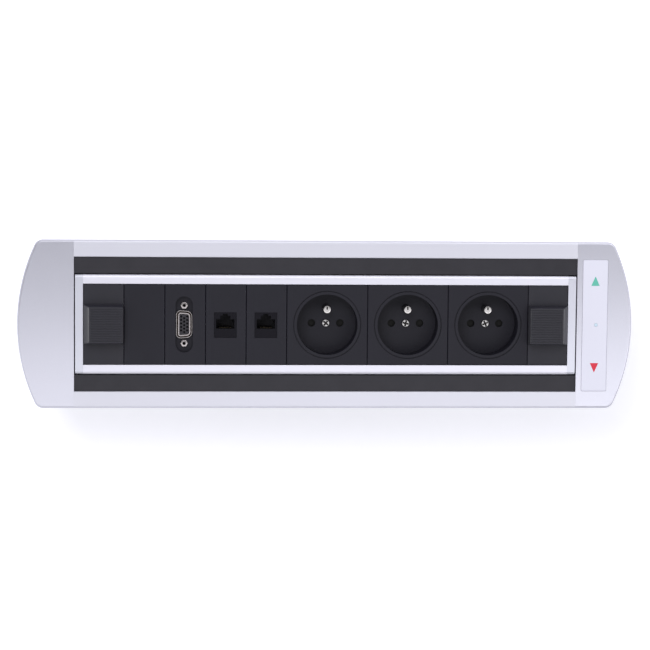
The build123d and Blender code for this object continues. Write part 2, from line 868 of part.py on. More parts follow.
with BuildPart() as power_inlet:
    with BuildSketch(Plane.YZ.offset(-bracket_end - inlet_flange_thickness)):
        with Locations((inlet_y, inlet_z)):
            RectangleRounded(inlet_flange_width, inlet_flange_height, inlet_corner_r)
        with Locations(*inlet_screws):
            Circle(screw_r + screw_fit, mode=Mode.SUBTRACT)
    extrude(amount=inlet_flange_thickness)
    with BuildSketch(Plane.YZ.offset(-bracket_end)):
        with Locations((inlet_y, inlet_z)):
            Rectangle(inlet_width, inlet_height)
    extrude(amount=inlet_depth)
    with BuildSketch(Plane.YZ.offset(-bracket_end - inlet_flange_thickness)) as cavity:
        with Locations((inlet_y, inlet_z)):
            Rectangle(cavity_width, cavity_height)
        chamfer(cavity.vertices().group_by(Axis.Z)[-1], cavity_chamfer)
    extrude(amount=cavity_depth, mode=Mode.SUBTRACT)
power_inlet.part.label = "power_inlet"
export_step(power_inlet.part, "parts/power_inlet.step")

with BuildPart() as inlet_pins:
    with BuildSketch(Plane.YZ.offset(cavity_floor_x)):
        with Locations(
            (inlet_y - pin_pitch, inlet_z - pin_drop / 2),
            (inlet_y, inlet_z + pin_drop / 2),
            (inlet_y + pin_pitch, inlet_z - pin_drop / 2),
        ):
            Rectangle(pin_thickness, pin_width)
    extrude(amount=-pin_length)
inlet_pins.part.label = "inlet_pins"
export_step(inlet_pins.part, "parts/inlet_pins.step")

with BuildPart() as cable_grommet:
    for start in (-bracket_end - grommet_rim, -trough_end):
        with BuildSketch(Plane.YZ.offset(start)):
            with Locations((grommet_y, inlet_z)):
                Circle(grommet_bore_r + grommet_wall + grommet_lip)
        extrude(amount=grommet_rim)
    with BuildSketch(Plane.YZ.offset(-bracket_end)):
        with Locations((grommet_y, inlet_z)):
            Circle(grommet_bore_r + grommet_wall)
    extrude(amount=sheet)
    with BuildSketch(Plane.YZ.offset(-bracket_end - grommet_rim)):
        with Locations((grommet_y, inlet_z)):
            Circle(grommet_bore_r)
    extrude(amount=sheet + 2 * grommet_rim, mode=Mode.SUBTRACT)
cable_grommet.part.label = "cable_grommet"
export_step(cable_grommet.part, "parts/cable_grommet.step")

# Terminal block on the left bearing wall, with three screw wells

terminal_depth = compartment - bracket_gap - sheet - terminal_room
terminal_x = -wall_x - sheet - terminal_depth / 2
terminal_z = -terminal_top - terminal_height / 2

with BuildPart() as terminal_block:
    with BuildSketch(Plane.YZ.offset(-wall_x - sheet)):
        with Locations((terminal_inner_y + terminal_width / 2, terminal_z)):
            RectangleRounded(terminal_width, terminal_height, terminal_corner_r)
    extrude(amount=-terminal_depth)
    with BuildSketch(Plane.XY.offset(-terminal_top)):
        with Locations((terminal_x, terminal_inner_y + terminal_width / 2)):
            with GridLocations(0, terminal_pitch, 1, 3):
                Circle(terminal_well_r)
    extrude(amount=-terminal_well_depth, mode=Mode.SUBTRACT)
terminal_block.part.label = "terminal_block"
export_step(terminal_block.part, "parts/terminal_block.step")

# Supply wiring: three leads from inlet to terminal block, the loom from the block to the
# hollow journal, and the motor lead along the trough's floor

loom_turn_x = -gear_end - loom_turn
inlet_top_z = inlet_z + inlet_height / 2
terminal_bottom_z = -terminal_top - terminal_height
lead_level = (inlet_top_z + terminal_bottom_z) / 2
motor_lead_x = -wall_x - sheet - motor_lead_inset
motor_bottom_z = gearbox_z - motor_r

with BuildPart() as supply_harness:
    for number in range(3):
        lead_x = terminal_x + (number - 1) * lead_spacing
        lead_start = (lead_x, inlet_y + lead_shift + (1 - number) * lead_fan, inlet_top_z)
        lead_end_y = terminal_inner_y + lead_entry + (1 - number) * lead_spacing
        lead_end = (lead_x, lead_end_y, terminal_bottom_z)
        with BuildLine() as lead_path:
            FilletPolyline(
                lead_start,
                (lead_x, lead_start[1], lead_level),
                (lead_x, lead_end_y, lead_level),
                lead_end,
                radius=lead_bend_r,
            )
        with BuildSketch(Plane(origin=lead_start, z_dir=(0, 0, 1))):
            Circle(lead_r)
        sweep(path=lead_path.line)
    with BuildLine() as loom_path:
        FilletPolyline(
            (-gear_end - loom_gap, 0, axis_z),
            (loom_turn_x, 0, axis_z),
            (loom_turn_x, terminal_inner_y, axis_z),
            radius=loom_bend_r,
        )
    with BuildSketch(Plane(origin=(-gear_end - loom_gap, 0, axis_z), z_dir=(-1, 0, 0))):
        Circle(loom_r)
    sweep(path=loom_path.line)
    motor_lead_start = (motor_lead_x, motor_lead_y, terminal_bottom_z)
    with BuildLine() as motor_path:
        FilletPolyline(
            motor_lead_start,
            (motor_lead_x, motor_lead_y, motor_lead_z),
            (motor_x, motor_lead_y, motor_lead_z),
            (motor_x, motor_lead_y, motor_bottom_z),
            radius=motor_lead_bend_r,
        )
    with BuildSketch(Plane(origin=motor_lead_start, z_dir=(0, 0, -1))):
        Circle(lead_r)
    sweep(path=motor_path.line)
supply_harness.part.label = "supply_harness"
export_step(supply_harness.part, "parts/supply_harness.step")


# Screws of the frame, housing, inlet, gearbox and board


def screw(head_r, head, shank_r, shank):
    with BuildPart() as body:
        with BuildSketch(Plane.XY):
            Circle(head_r)
        extrude(amount=head)
        with BuildSketch(Plane.XY.offset(head)):
            RegularPolygon(head_r * hex_size, 6)
        extrude(amount=-head * hex_depth, mode=Mode.SUBTRACT)
        with BuildSketch(Plane.XY):
            Circle(shank_r)
        extrude(amount=-shank)
    return body.part


rail_screw = screw(screw_head_r, screw_head, screw_r, leg_outer - trough_inner + shank_rest)
cap_shank = leg_inner + skirt_thickness - trough_inner + shank_rest
cap_screw = screw(screw_head_r, screw_head, screw_r, cap_shank)
web_screw = screw(screw_head_r, screw_head, screw_r, 2 * sheet - bracket_gap)
board_shank = board_thickness + small_screw_grip
board_screw = screw(small_screw_head_r, small_screw_head, small_screw_r, board_shank)
inlet_screw = screw(screw_head_r, screw_head, screw_r, inlet_flange_thickness + sheet + screw_end)
gearbox_screw = screw(screw_head_r, screw_head, screw_r, sheet + gearbox_screw_depth - screw_end)

rail_seats = []
cap_seats = []
web_seats = []
board_seats = []
for side in (-1, 1):
    out = (0, side, 0)
    for x in rail_screw_x:
        rail_seats.append(Plane(origin=(x, side * leg_outer, rail_screw_z), z_dir=out))
    for x in (-cap_screw_x, cap_screw_x):
        cap_seat_y = side * (leg_inner + skirt_thickness)
        cap_seats.append(Plane(origin=(x, cap_seat_y, cap_screw_z), z_dir=out))
    for x in (-web_screw_x, web_screw_x):
        web_seats.append(Plane(origin=(x, side * web_screw_y, floor_z + sheet)))
    board_seat = (panel_x, side * board_screw_y, -board_thickness)
    board_seats.append(Plane(origin=board_seat, z_dir=(0, 0, -1)))
inlet_face = -bracket_end - inlet_flange_thickness
inlet_seats = [Plane(origin=(inlet_face, y, z), z_dir=(-1, 0, 0)) for y, z in inlet_screws]
gearbox_seats = [Plane(origin=(bracket_end, y, z), z_dir=(1, 0, 0)) for y, z in gearbox_screws]

with BuildPart() as housing_screws:
    with Locations(*rail_seats):
        add(rail_screw)
    with Locations(*cap_seats):
        add(cap_screw)
    with Locations(*web_seats):
        add(web_screw)
    with Locations(*board_seats):
        add(board_screw)
    with Locations(*inlet_seats):
        add(inlet_screw)
    with Locations(*gearbox_seats):
        add(gearbox_screw)
housing_screws.part.label = "housing_screws"
export_step(housing_screws.part, "parts/housing_screws.step")

# Clamp bars: slotted plates with a foot that grips the desk from below

slot_width = 2 * (stud_r + stud_fit)
slot_height = clamp_up + clamp_down + slot_width
slot_z = stud_z + (clamp_down - clamp_up) / 2

with BuildPart() as clamp_bar_top:
    with BuildSketch(Plane.YZ.offset(-clamp_length / 2)):
        with BuildLine():
            Polyline(
                (clamp_inner, -clamp_top),
                (clamp_outer + clamp_foot, -clamp_top),
                (clamp_outer + clamp_foot, -clamp_top - sheet),
                (clamp_outer, -clamp_top - sheet),
                (clamp_outer, -clamp_top - clamp_height),
                (clamp_inner, -clamp_top - clamp_height),
                close=True,
            )
        make_face()
    extrude(amount=clamp_length)
    with BuildSketch(Plane.XZ.offset(-clamp_outer)):
        with Locations((-stud_spacing / 2, slot_z), (stud_spacing / 2, slot_z)):
            SlotOverall(slot_height, slot_width, rotation=90)
    extrude(amount=sheet, mode=Mode.SUBTRACT)
    foot_corners = clamp_bar_top.edges().filter_by(Axis.Z).group_by(Axis.Y)[-1]
    fillet(foot_corners, clamp_corner_r)
clamp_bar_top.part.label = "clamp_bar_top"
export_step(clamp_bar_top.part, "parts/clamp_bar_top.step")

with BuildPart() as clamp_bar_bottom:
    mirror(clamp_bar_top.part, about=Plane.XZ)
clamp_bar_bottom.part.label = "clamp_bar_bottom"
export_step(clamp_bar_bottom.part, "parts/clamp_bar_bottom.step")

with BuildPart() as clamp_nuts:
    for side in (-1, 1):
        for x in (-stud_spacing / 2, stud_spacing / 2):
            nut_seat = Plane(
                origin=(x, side * (clamp_outer + clamp_fit), stud_z),
                z_dir=(0, side, 0),
            )
            with BuildSketch(nut_seat):
                Circle(nut_r)
                with PolarLocations(nut_r + flute_out, nut_flutes):
                    Circle(flute_r, mode=Mode.SUBTRACT)
                Circle(stud_r + thread_fit, mode=Mode.SUBTRACT)
            extrude(amount=nut_thickness)
clamp_nuts.part.label = "clamp_nuts"
export_step(clamp_nuts.part, "parts/clamp_nuts.step")

# Rotor channel: one extrusion with rails beside the modules and ports for the end screws

lid_window = rotor_width - 2 * lid_ledge
ports = [(side * port_y, z) for z in (port_high_z, port_low_z) for side in (1, -1)]

with BuildPart() as rotor_channel:
    with BuildSketch(Plane.YZ.offset(-strip_length / 2)):
        with Locations((0, axis_z)):
            RectangleRounded(rotor_width, rotor_depth, rotor_corner_r)
        with Locations((0, axis_z)):
            Rectangle(2 * channel_inner, rotor_depth - 2 * rotor_flange, mode=Mode.SUBTRACT)
        with Locations((0, rim_height)):
            Rectangle(2 * rail_inner, 4 * rotor_flange, mode=Mode.SUBTRACT)
        with Locations((0, rotor_bottom)):
            Rectangle(lid_window, 4 * rotor_flange, mode=Mode.SUBTRACT)
        with Locations((0, web_top - channel_web / 2)):
            Rectangle(2 * channel_inner, channel_web)
        with Locations(*ports):
            Circle(port_r)
            Circle(screw_r, mode=Mode.SUBTRACT)
    extrude(amount=strip_length)
rotor_channel.part.label = "rotor_channel"
export_step(rotor_channel.part, "parts/rotor_channel.step")

lid_half = lid_window / 2 - lid_clearance
hook_z = rotor_bottom + rotor_flange + lid_clearance + lid_hook_thickness / 2

with BuildPart() as rotor_lid:
    with BuildSketch(Plane.YZ.offset(-strip_length / 2)):
        with Locations((0, rotor_bottom + lid_thickness / 2)):
            Rectangle(2 * lid_half, lid_thickness)
        for side in (-1, 1):
            rib_z = rotor_bottom + (lid_thickness + lid_rib_height) / 2
            with Locations((side * (lid_half - lid_rib / 2), rib_z)):
                Rectangle(lid_rib, lid_thickness + lid_rib_height)
            with Locations((side * (lid_half + lid_hook / 2 - lid_rib / 4), hook_z)):
                Rectangle(lid_hook + lid_rib / 2, lid_hook_thickness)
    extrude(amount=strip_length)
rotor_lid.part.label = "rotor_lid"
export_step(rotor_lid.part, "parts/rotor_lid.step")

# Rotor end plates with the journals that run in the bushes

journal_end = gear_end + journal_rest

with BuildPart() as rotor_end_right:
    with BuildSketch(Plane.YZ.offset(strip_length / 2)):
        with Locations((0, axis_z)):
            RectangleRounded(rotor_width, rotor_depth, rotor_corner_r)
        with Locations(*ports):
            Circle(screw_r + screw_fit, mode=Mode.SUBTRACT)
    extrude(amount=rotor_end_thickness)
    with BuildSketch(Plane.YZ.offset(rotor_length / 2)):
        with Locations(*ports):
            Circle(screw_head_r)
    extrude(amount=-screw_head, mode=Mode.SUBTRACT)
    with BuildSketch(Plane.YZ.offset(rotor_length / 2)):
        with Locations((0, axis_z)):
            Circle(journal_r)
    extrude(amount=journal_end - rotor_length / 2)
rotor_end_right.part.label = "rotor_end_right"
export_step(rotor_end_right.part, "parts/rotor_end_right.step")

with BuildPart() as rotor_end_left:
    mirror(rotor_end_right.part, about=Plane.YZ)
    with BuildSketch(Plane.YZ.offset(-journal_end)):
        with Locations((0, axis_z)):
            Circle(cable_bore_r)
    extrude(amount=journal_end - strip_length / 2, mode=Mode.SUBTRACT)
rotor_end_left.part.label = "rotor_end_left"
export_step(rotor_end_left.part, "parts/rotor_end_left.step")

end_screw = screw(screw_head_r - screw_fit, screw_head, screw_r - thread_fit, end_screw_length)
end_seats = []
for side in (-1, 1):
    seat_x = side * (rotor_length / 2 - screw_head)
    for y, z in ports:
        end_seats.append(Plane(origin=(seat_x, y, z), z_dir=(side, 0, 0)))

with BuildPart() as rotor_end_screws:
    with Locations(*end_seats):
        add(end_screw)
rotor_end_screws.part.label = "rotor_end_screws"
export_step(rotor_end_screws.part, "parts/rotor_end_screws.step")

# Wiring loom inside the rotor, from the hollow journal along one wall

with BuildPart() as rotor_loom:
    loom_start = (-gear_end - loom_stub, 0, axis_z)
    with BuildLine() as rotor_loom_path:
        FilletPolyline(
            loom_start,
            (-strip_length / 2 + loom_run_in, 0, axis_z),
            (-strip_length / 2 + loom_cross, loom_y, loom_z),
            (strip_length / 2 - loom_run_out, loom_y, loom_z),
            radius=loom_swing_r,
        )
    with BuildSketch(Plane(origin=loom_start, z_dir=(1, 0, 0))):
        Circle(loom_r)
    sweep(path=rotor_loom_path.line)
rotor_loom.part.label = "rotor_loom"
export_step(rotor_loom.part, "parts/rotor_loom.step")


# Module faces: a plate between the rails, side skirts and hooks under the rails


def module_plate(centre_x, pitches):
    plate_length = pitches * half_pitch - 2 * module_gap
    plate_height = module_height - 2 * module_gap
    wall_y = (plate_height - skirt_wall) / 2
    hook_y = (plate_height + hook_reach) / 2
    with BuildPart() as plate:
        with BuildSketch(Plane.XY.offset(face_under)):
            with Locations((centre_x, 0)):
                Rectangle(plate_length, plate_height)
        extrude(amount=face_thickness)
        chamfer(plate.edges().group_by(Axis.Z)[-1], face_chamfer)
        with BuildSketch(Plane.XY.offset(face_under)):
            with Locations((centre_x, wall_y), (centre_x, -wall_y)):
                Rectangle(plate_length - 2 * skirt_end, skirt_wall)
        extrude(amount=-skirt_depth)
        with BuildSketch(Plane.XY.offset(rim_height - rotor_flange - module_gap)):
            with Locations((centre_x, hook_y), (centre_x, -hook_y)):
                Rectangle(hook_length, hook_reach)
        extrude(amount=-hook_thickness)
    return plate.part


end_plate = module_plate(end_module_x, 1)
blank_plate = module_plate(blank_x, 1)
video_plate = module_plate(video_x, 1)
data_plates = [module_plate(x, 1) for x in data_x]
socket_plates = [module_plate(x, 2) for x in socket_x]

with BuildPart() as end_module_left:
    add(end_plate)
end_module_left.part.label = "end_module_left"
export_step(end_module_left.part, "parts/end_module_left.step")

with BuildPart() as end_module_right:
    mirror(end_module_left.part, about=Plane.YZ)
end_module_right.part.label = "end_module_right"
export_step(end_module_right.part, "parts/end_module_right.step")

# Raised ribbed blocks on the end modules: drafted sides, a sloping outer end, and grooves that
# run out over the top's inner edge

block_length = half_pitch - 2 * block_margin
block_outer = end_module_x - block_length / 2
block_inner = end_module_x + block_length / 2
block_top = face_top + block_rise
rib_count = int((block_height - 2 * (block_draft + rib_margin)) / rib_pitch) + 1
rib_centre = block_outer + block_bevel + rib_margin + block_length / 2

with BuildPart() as end_block_left:
    with BuildSketch(Plane.XZ.offset(-block_height / 2)):
        with BuildLine():
            Polyline(
                (block_outer, face_top),
                (block_inner, face_top),
                (block_inner - block_lean, block_top),
                (block_outer + block_bevel, block_top),
                (block_outer, face_top + block_foot),
                close=True,
            )
        make_face()
    extrude(amount=block_height)
    with BuildSketch(Plane.YZ.offset(block_outer)):
        with BuildLine():
            Polyline(
                (-block_height / 2, face_top),
                (block_height / 2, face_top),
                (block_height / 2 - block_draft, block_top),
                (block_draft - block_height / 2, block_top),
                close=True,
            )
        make_face()
    extrude(amount=block_length, mode=Mode.INTERSECT)
    fillet(end_block_left.edges().group_by(Axis.Z)[-1], block_rounding)
    with BuildSketch(Plane.XY.offset(block_top)):
        with Locations((rib_centre, 0)):
            with GridLocations(0, rib_pitch, 1, rib_count):
                Rectangle(block_length, rib_groove)
    extrude(amount=-rib_depth, mode=Mode.SUBTRACT)
end_block_left.part.label = "end_block_left"
export_step(end_block_left.part, "parts/end_block_left.step")

with BuildPart() as end_block_right:
    mirror(end_block_left.part, about=Plane.YZ)
end_block_right.part.label = "end_block_right"
export_step(end_block_right.part, "parts/end_block_right.step")

with BuildPart() as blank_module:
    add(blank_plate)
blank_module.part.label = "blank_module"
export_step(blank_module.part, "parts/blank_module.step")


# Video module: a long rounded slot with the connector's shell and jackscrews in it


def shell_outline(grow):
    half_long = video_shell_long / 2 + grow
    half_short = video_shell_short / 2 + grow
    half_across = video_shell_width / 2 + grow
    with BuildSketch(Plane.XY) as outline:
        with BuildLine():
            Polyline(
                (-half_across, -half_long),
                (half_across, -half_short),
                (half_across, half_short),
                (-half_across, half_long),
                close=True,
            )
        make_face()
        fillet(outline.vertices(), video_shell_corner_r + grow)
    return outline.sketch


slot_floor = face_top - video_slot_depth
shell_top = face_top - video_shell_recess
connector_top = slot_floor - video_back
ring_inner = video_ring_gap
ring_outer = video_ring_gap + video_ring_wall
jackscrew_spots = [(connector_x, side * jackscrew_spacing / 2) for side in (1, -1)]

with BuildPart() as video_faceplate:
    add(video_plate)
    with BuildSketch(Plane.XY.offset(face_under)):
        with Locations((connector_x, 0)):
            Rectangle(video_slot_width + 2 * video_back_margin, video_slot_height + 2 * video_back_margin)
    extrude(amount=connector_top - face_under)
    with BuildSketch(Plane.XY.offset(face_top)):
        with Locations((connector_x, 0)):
            SlotOverall(video_slot_height, video_slot_width, rotation=90)
    extrude(amount=-video_slot_depth, mode=Mode.SUBTRACT)
    with BuildSketch(Plane.XY.offset(slot_floor)):
        with Locations((connector_x, 0)):
            add(shell_outline(video_shell_fit))
        with Locations(*jackscrew_spots):
            Circle(jackscrew_shank_r + jackscrew_hole_fit)
    extrude(amount=-video_back, mode=Mode.SUBTRACT)
video_faceplate.part.label = "video_faceplate"
export_step(video_faceplate.part, "parts/video_faceplate.step")

with BuildPart() as video_shell:
    with BuildSketch(Plane.XY.offset(slot_floor)):
        with Locations((connector_x, 0)):
            add(shell_outline(ring_outer))
    extrude(amount=video_ring_rise)
    with BuildSketch(Plane.XY.offset(slot_floor + video_flange_thickness)):
        with Locations((connector_x, 0)):
            add(shell_outline(ring_inner))
    extrude(amount=video_ring_rise, mode=Mode.SUBTRACT)
    with BuildSketch(Plane.XY.offset(connector_top)):
        with Locations((connector_x, 0)):
            add(shell_outline(0))
    extrude(amount=shell_top - connector_top)
    fillet(video_shell.edges().group_by(Axis.Z)[-1], video_shell_rounding)
    with BuildSketch(Plane.XY.offset(connector_top)):
        with Locations((connector_x, 0)):
            add(shell_outline(-video_shell_wall))
    extrude(amount=shell_top - connector_top, mode=Mode.SUBTRACT)
video_shell.part.label = "video_shell"
export_step(video_shell.part, "parts/video_shell.step")

insulator_top = face_top - insulator_recess

with BuildPart() as video_insulator:
    with BuildSketch(Plane.XY.offset(connector_top)):
        with Locations((connector_x, 0)):
            Rectangle(video_slot_width, jackscrew_spacing + 2 * insulator_end)
        with Locations(*jackscrew_spots):
            Circle(jackscrew_shank_r + jackscrew_fit, mode=Mode.SUBTRACT)
    extrude(amount=-connector_depth)
    with BuildSketch(Plane.XY.offset(connector_top)):
        with Locations((connector_x, 0)):
            add(shell_outline(-video_shell_wall - insulator_fit))
    extrude(amount=insulator_top - connector_top)
    with BuildSketch(Plane.XY.offset(insulator_top)):
        for column in (-1, 0, 1):
            stagger = -video_pitch / 4 if column == 0 else video_pitch / 4
            with Locations((connector_x + column * video_column, stagger)):
                with GridLocations(0, video_pitch, 1, video_rows):
                    Circle(contact_bore_r)
    extrude(amount=-contact_bore_depth, mode=Mode.SUBTRACT)
video_insulator.part.label = "video_insulator"
export_step(video_insulator.part, "parts/video_insulator.step")

jackscrew_top = face_top - jackscrew_recess

with BuildPart() as video_jackscrews:
    with BuildSketch(Plane.XY.offset(slot_floor)):
        with Locations(*jackscrew_spots):
            RegularPolygon(jackscrew_r, 6)
    extrude(amount=jackscrew_top - slot_floor)
    chamfer(video_jackscrews.edges().group_by(Axis.Z)[-1], jackscrew_chamfer)
    with BuildSketch(Plane.XY.offset(slot_floor)):
        with Locations(*jackscrew_spots):
            Circle(jackscrew_shank_r)
    extrude(amount=-video_back - connector_depth + jackscrew_rest)
    with BuildSketch(Plane.XY.offset(jackscrew_top)):
        with Locations(*jackscrew_spots):
            Circle(jackscrew_bore_r)
    extrude(amount=-jackscrew_bore_depth, mode=Mode.SUBTRACT)
video_jackscrews.part.label = "video_jackscrews"
export_step(video_jackscrews.part, "parts/video_jackscrews.step")

# Data modules: a square window with a jack; its opening has two latch steps

jack_top = face_top - jack_recess
latch_top = port_height + latch_height
port_steps = [
    (port_width, port_height),
    (latch_width, latch_top),
    (latch_notch_width, latch_top + latch_notch_height),
]

for number, centre_x in enumerate(data_x, start=1):
    jack_x = centre_x - jack_aside
    with BuildPart() as data_faceplate:
        add(data_plates[number - 1])
        with BuildSketch(Plane.XY.offset(face_top)):
            with Locations((jack_x, jack_y)):
                Rectangle(jack_width, jack_height)
        extrude(amount=-face_thickness, mode=Mode.SUBTRACT)
    data_faceplate.part.label = f"data_faceplate_{number}"
    export_step(data_faceplate.part, f"parts/data_faceplate_{number}.step")

    with BuildPart() as data_jack:
        with BuildSketch(Plane.XY.offset(jack_top)):
            with Locations((jack_x, jack_y)):
                Rectangle(jack_width - 2 * jack_fit, jack_height - 2 * jack_fit)
        extrude(amount=-jack_depth)
        with BuildSketch(Plane.XY.offset(jack_top)):
            for step_width, step_height in port_steps:
                with Locations((jack_x, jack_y + port_low_y + step_height / 2)):
                    Rectangle(step_width, step_height)
        extrude(amount=-port_depth, mode=Mode.SUBTRACT)
        # catch that holds the jack behind the face
        for side in (-1, 1):
            with BuildSketch(Plane.XY.offset(face_under - module_gap)):
                with Locations((jack_x, jack_y + side * jack_height / 2)):
                    Rectangle(jack_width - 2 * catch_inset, 2 * catch_reach)
            extrude(amount=-catch_height)
    data_jack.part.label = f"data_jack_{number}"
    export_step(data_jack.part, f"parts/data_jack_{number}.step")

with BuildPart() as data_contacts:
    wire_z = jack_top - wire_start - wire_length / 2
    wire_rise = (wire_length * math.sin(math.radians(wire_tilt)) + wire_size) / 2
    wire_y = jack_y + port_low_y + wire_lift + wire_rise
    for centre_x in data_x:
        with Locations(Location((centre_x - jack_aside, wire_y, wire_z), (wire_tilt, 0, 0))):
            with GridLocations(wire_pitch, 0, wire_count, 1):
                Box(wire_size, wire_size, wire_length)
data_contacts.part.label = "data_contacts"
export_step(data_contacts.part, "parts/data_contacts.step")

# Mains sockets: face with its ring groove and round well, back box, shutter

shutter_low = -shutter_travel - contact_hole_r - shutter_end
shutter_high = contact_hole_r + shutter_cover
shutter_slot_low = -shutter_travel - socket_screw_r - shutter_slot_fit

for number, centre_x in enumerate(socket_x, start=1):
    contacts = [(centre_x - contact_pitch / 2, 0), (centre_x + contact_pitch / 2, 0)]

    with BuildPart() as socket_face:
        add(socket_plates[number - 1])
        with BuildSketch(Plane.XY.offset(face_under)):
            with Locations((centre_x, 0)):
                Circle(well_r + well_wall)
        extrude(amount=cup_under - face_under)
        with BuildSketch(Plane.XY.offset(face_top)):
            with Locations((centre_x, 0)):
                Circle(well_r)
        extrude(amount=-well_depth, mode=Mode.SUBTRACT)
        with BuildSketch(Plane.XY.offset(face_top)):
            with Locations((centre_x, 0)):
                Circle(ring_r + ring_width / 2)
                Circle(ring_r - ring_width / 2, mode=Mode.SUBTRACT)
        extrude(amount=-ring_depth, mode=Mode.SUBTRACT)
        with BuildSketch(Plane.XY.offset(well_floor_z)):
            with Locations(*contacts):
                Circle(contact_hole_r)
            with Locations((centre_x, earth_offset)):
                Circle(earth_r + screw_fit)
            with Locations((centre_x, 0)):
                Circle(socket_screw_r + screw_fit)
        extrude(amount=-well_floor, mode=Mode.SUBTRACT)
    socket_face.part.label = f"socket_face_{number}"
    export_step(socket_face.part, f"parts/socket_face_{number}.step")

    with BuildPart() as shutter:
        with BuildSketch(Plane.XY.offset(shutter_under)):
            with Locations((centre_x, (shutter_low + shutter_high) / 2)):
                Rectangle(2 * shutter_half, shutter_high - shutter_low)
            with Locations((centre_x, shutter_high)):
                Rectangle(
                    2 * (earth_r + shutter_slot_fit),
                    2 * (shutter_high - shutter_slot_low),
                    mode=Mode.SUBTRACT,
                )
            with Locations((centre_x, -shutter_travel)):
                with GridLocations(contact_pitch, 0, 2, 1):
                    Circle(contact_hole_r + shutter_window_fit, mode=Mode.SUBTRACT)
        extrude(amount=shutter_thickness)
    shutter.part.label = f"shutter_{number}"
    export_step(shutter.part, f"parts/shutter_{number}.step")

with BuildPart() as socket_boxes:
    for centre_x in socket_x:
        with BuildSketch(Plane.XY.offset(box_bottom)):
            with Locations((centre_x, 0)):
                Rectangle(2 * box_half_x, 2 * box_half_y)
        extrude(amount=face_under - box_drop - box_bottom)
        with BuildSketch(Plane.XY.offset(box_floor)):
            with Locations((centre_x, 0)):
                Rectangle(2 * (box_half_x - box_wall), 2 * (box_half_y - box_wall))
        extrude(amount=face_under - box_floor, mode=Mode.SUBTRACT)
        with BuildSketch(Plane.XY.offset(box_bottom)):
            with Locations((centre_x, 0)):
                Circle(socket_screw_r + post_wall)
                with GridLocations(contact_pitch, 0, 2, 1):
                    Rectangle(sleeve_post_width, sleeve_post_height)
            with Locations((centre_x, earth_offset)):
                Circle(earth_r + post_wall)
        extrude(amount=carrier_top - box_bottom)
        with BuildSketch(Plane.XY.offset(carrier_top)):
            with Locations((centre_x, 0)):
                Circle(socket_screw_r)
                with GridLocations(contact_pitch, 0, 2, 1):
                    Circle(sleeve_r + sleeve_fit)
            with Locations((centre_x, earth_offset)):
                Circle(earth_r + thread_fit)
        extrude(amount=box_floor - carrier_top, mode=Mode.SUBTRACT)
socket_boxes.part.label = "socket_boxes"
export_step(socket_boxes.part, "parts/socket_boxes.step")

earth_tip = face_top - earth_tip_below_face

with BuildPart() as earth_pins:
    for centre_x in socket_x:
        with BuildSketch(Plane.XY.offset(box_floor)):
            with Locations((centre_x, earth_offset)):
                Circle(earth_r)
        extrude(amount=earth_tip - box_floor)
    fillet(earth_pins.edges().group_by(Axis.Z)[-1], earth_rounding)
    for centre_x in socket_x:
        with BuildSketch(Plane.XY.offset(earth_tip)):
            with Locations((centre_x, earth_offset + earth_slot_height / 2)):
                Rectangle(earth_slot_width, earth_slot_height)
        extrude(amount=-earth_slot_depth, mode=Mode.SUBTRACT)
earth_pins.part.label = "earth_pins"
export_step(earth_pins.part, "parts/earth_pins.step")

socket_screw_top = well_floor_z + socket_screw_head

with BuildPart() as socket_screws:
    for centre_x in socket_x:
        with BuildSketch(Plane.XY.offset(well_floor_z)):
            with Locations((centre_x, 0)):
                Circle(socket_screw_head_r)
        extrude(amount=socket_screw_head)
    fillet(socket_screws.edges().group_by(Axis.Z)[-1], socket_screw_rounding)
    for centre_x in socket_x:
        with BuildSketch(Plane.XY.offset(socket_screw_top)):
            with Locations((centre_x, 0)):
                Rectangle(recess_length, recess_width, rotation=recess_turn)
                Rectangle(recess_width, recess_length, rotation=recess_turn)
        extrude(amount=-recess_depth, mode=Mode.SUBTRACT)
        with BuildSketch(Plane.XY.offset(well_floor_z)):
            with Locations((centre_x, 0)):
                Circle(socket_screw_r - thread_fit)
        extrude(amount=-socket_screw_length)
socket_screws.part.label = "socket_screws"
export_step(socket_screws.part, "parts/socket_screws.step")

with BuildPart() as socket_contacts:
    for centre_x in socket_x:
        with BuildSketch(Plane.XY.offset(box_floor)):
            with Locations((centre_x, 0)):
                with GridLocations(contact_pitch, 0, 2, 1):
                    Circle(sleeve_r)
                    Circle(sleeve_r - sleeve_wall, mode=Mode.SUBTRACT)
        extrude(amount=carrier_top - sleeve_drop - box_floor)
socket_contacts.part.label = "socket_contacts"
export_step(socket_contacts.part, "parts/socket_contacts.step")
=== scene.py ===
import json
import math

import bpy
from mathutils import Matrix, Vector


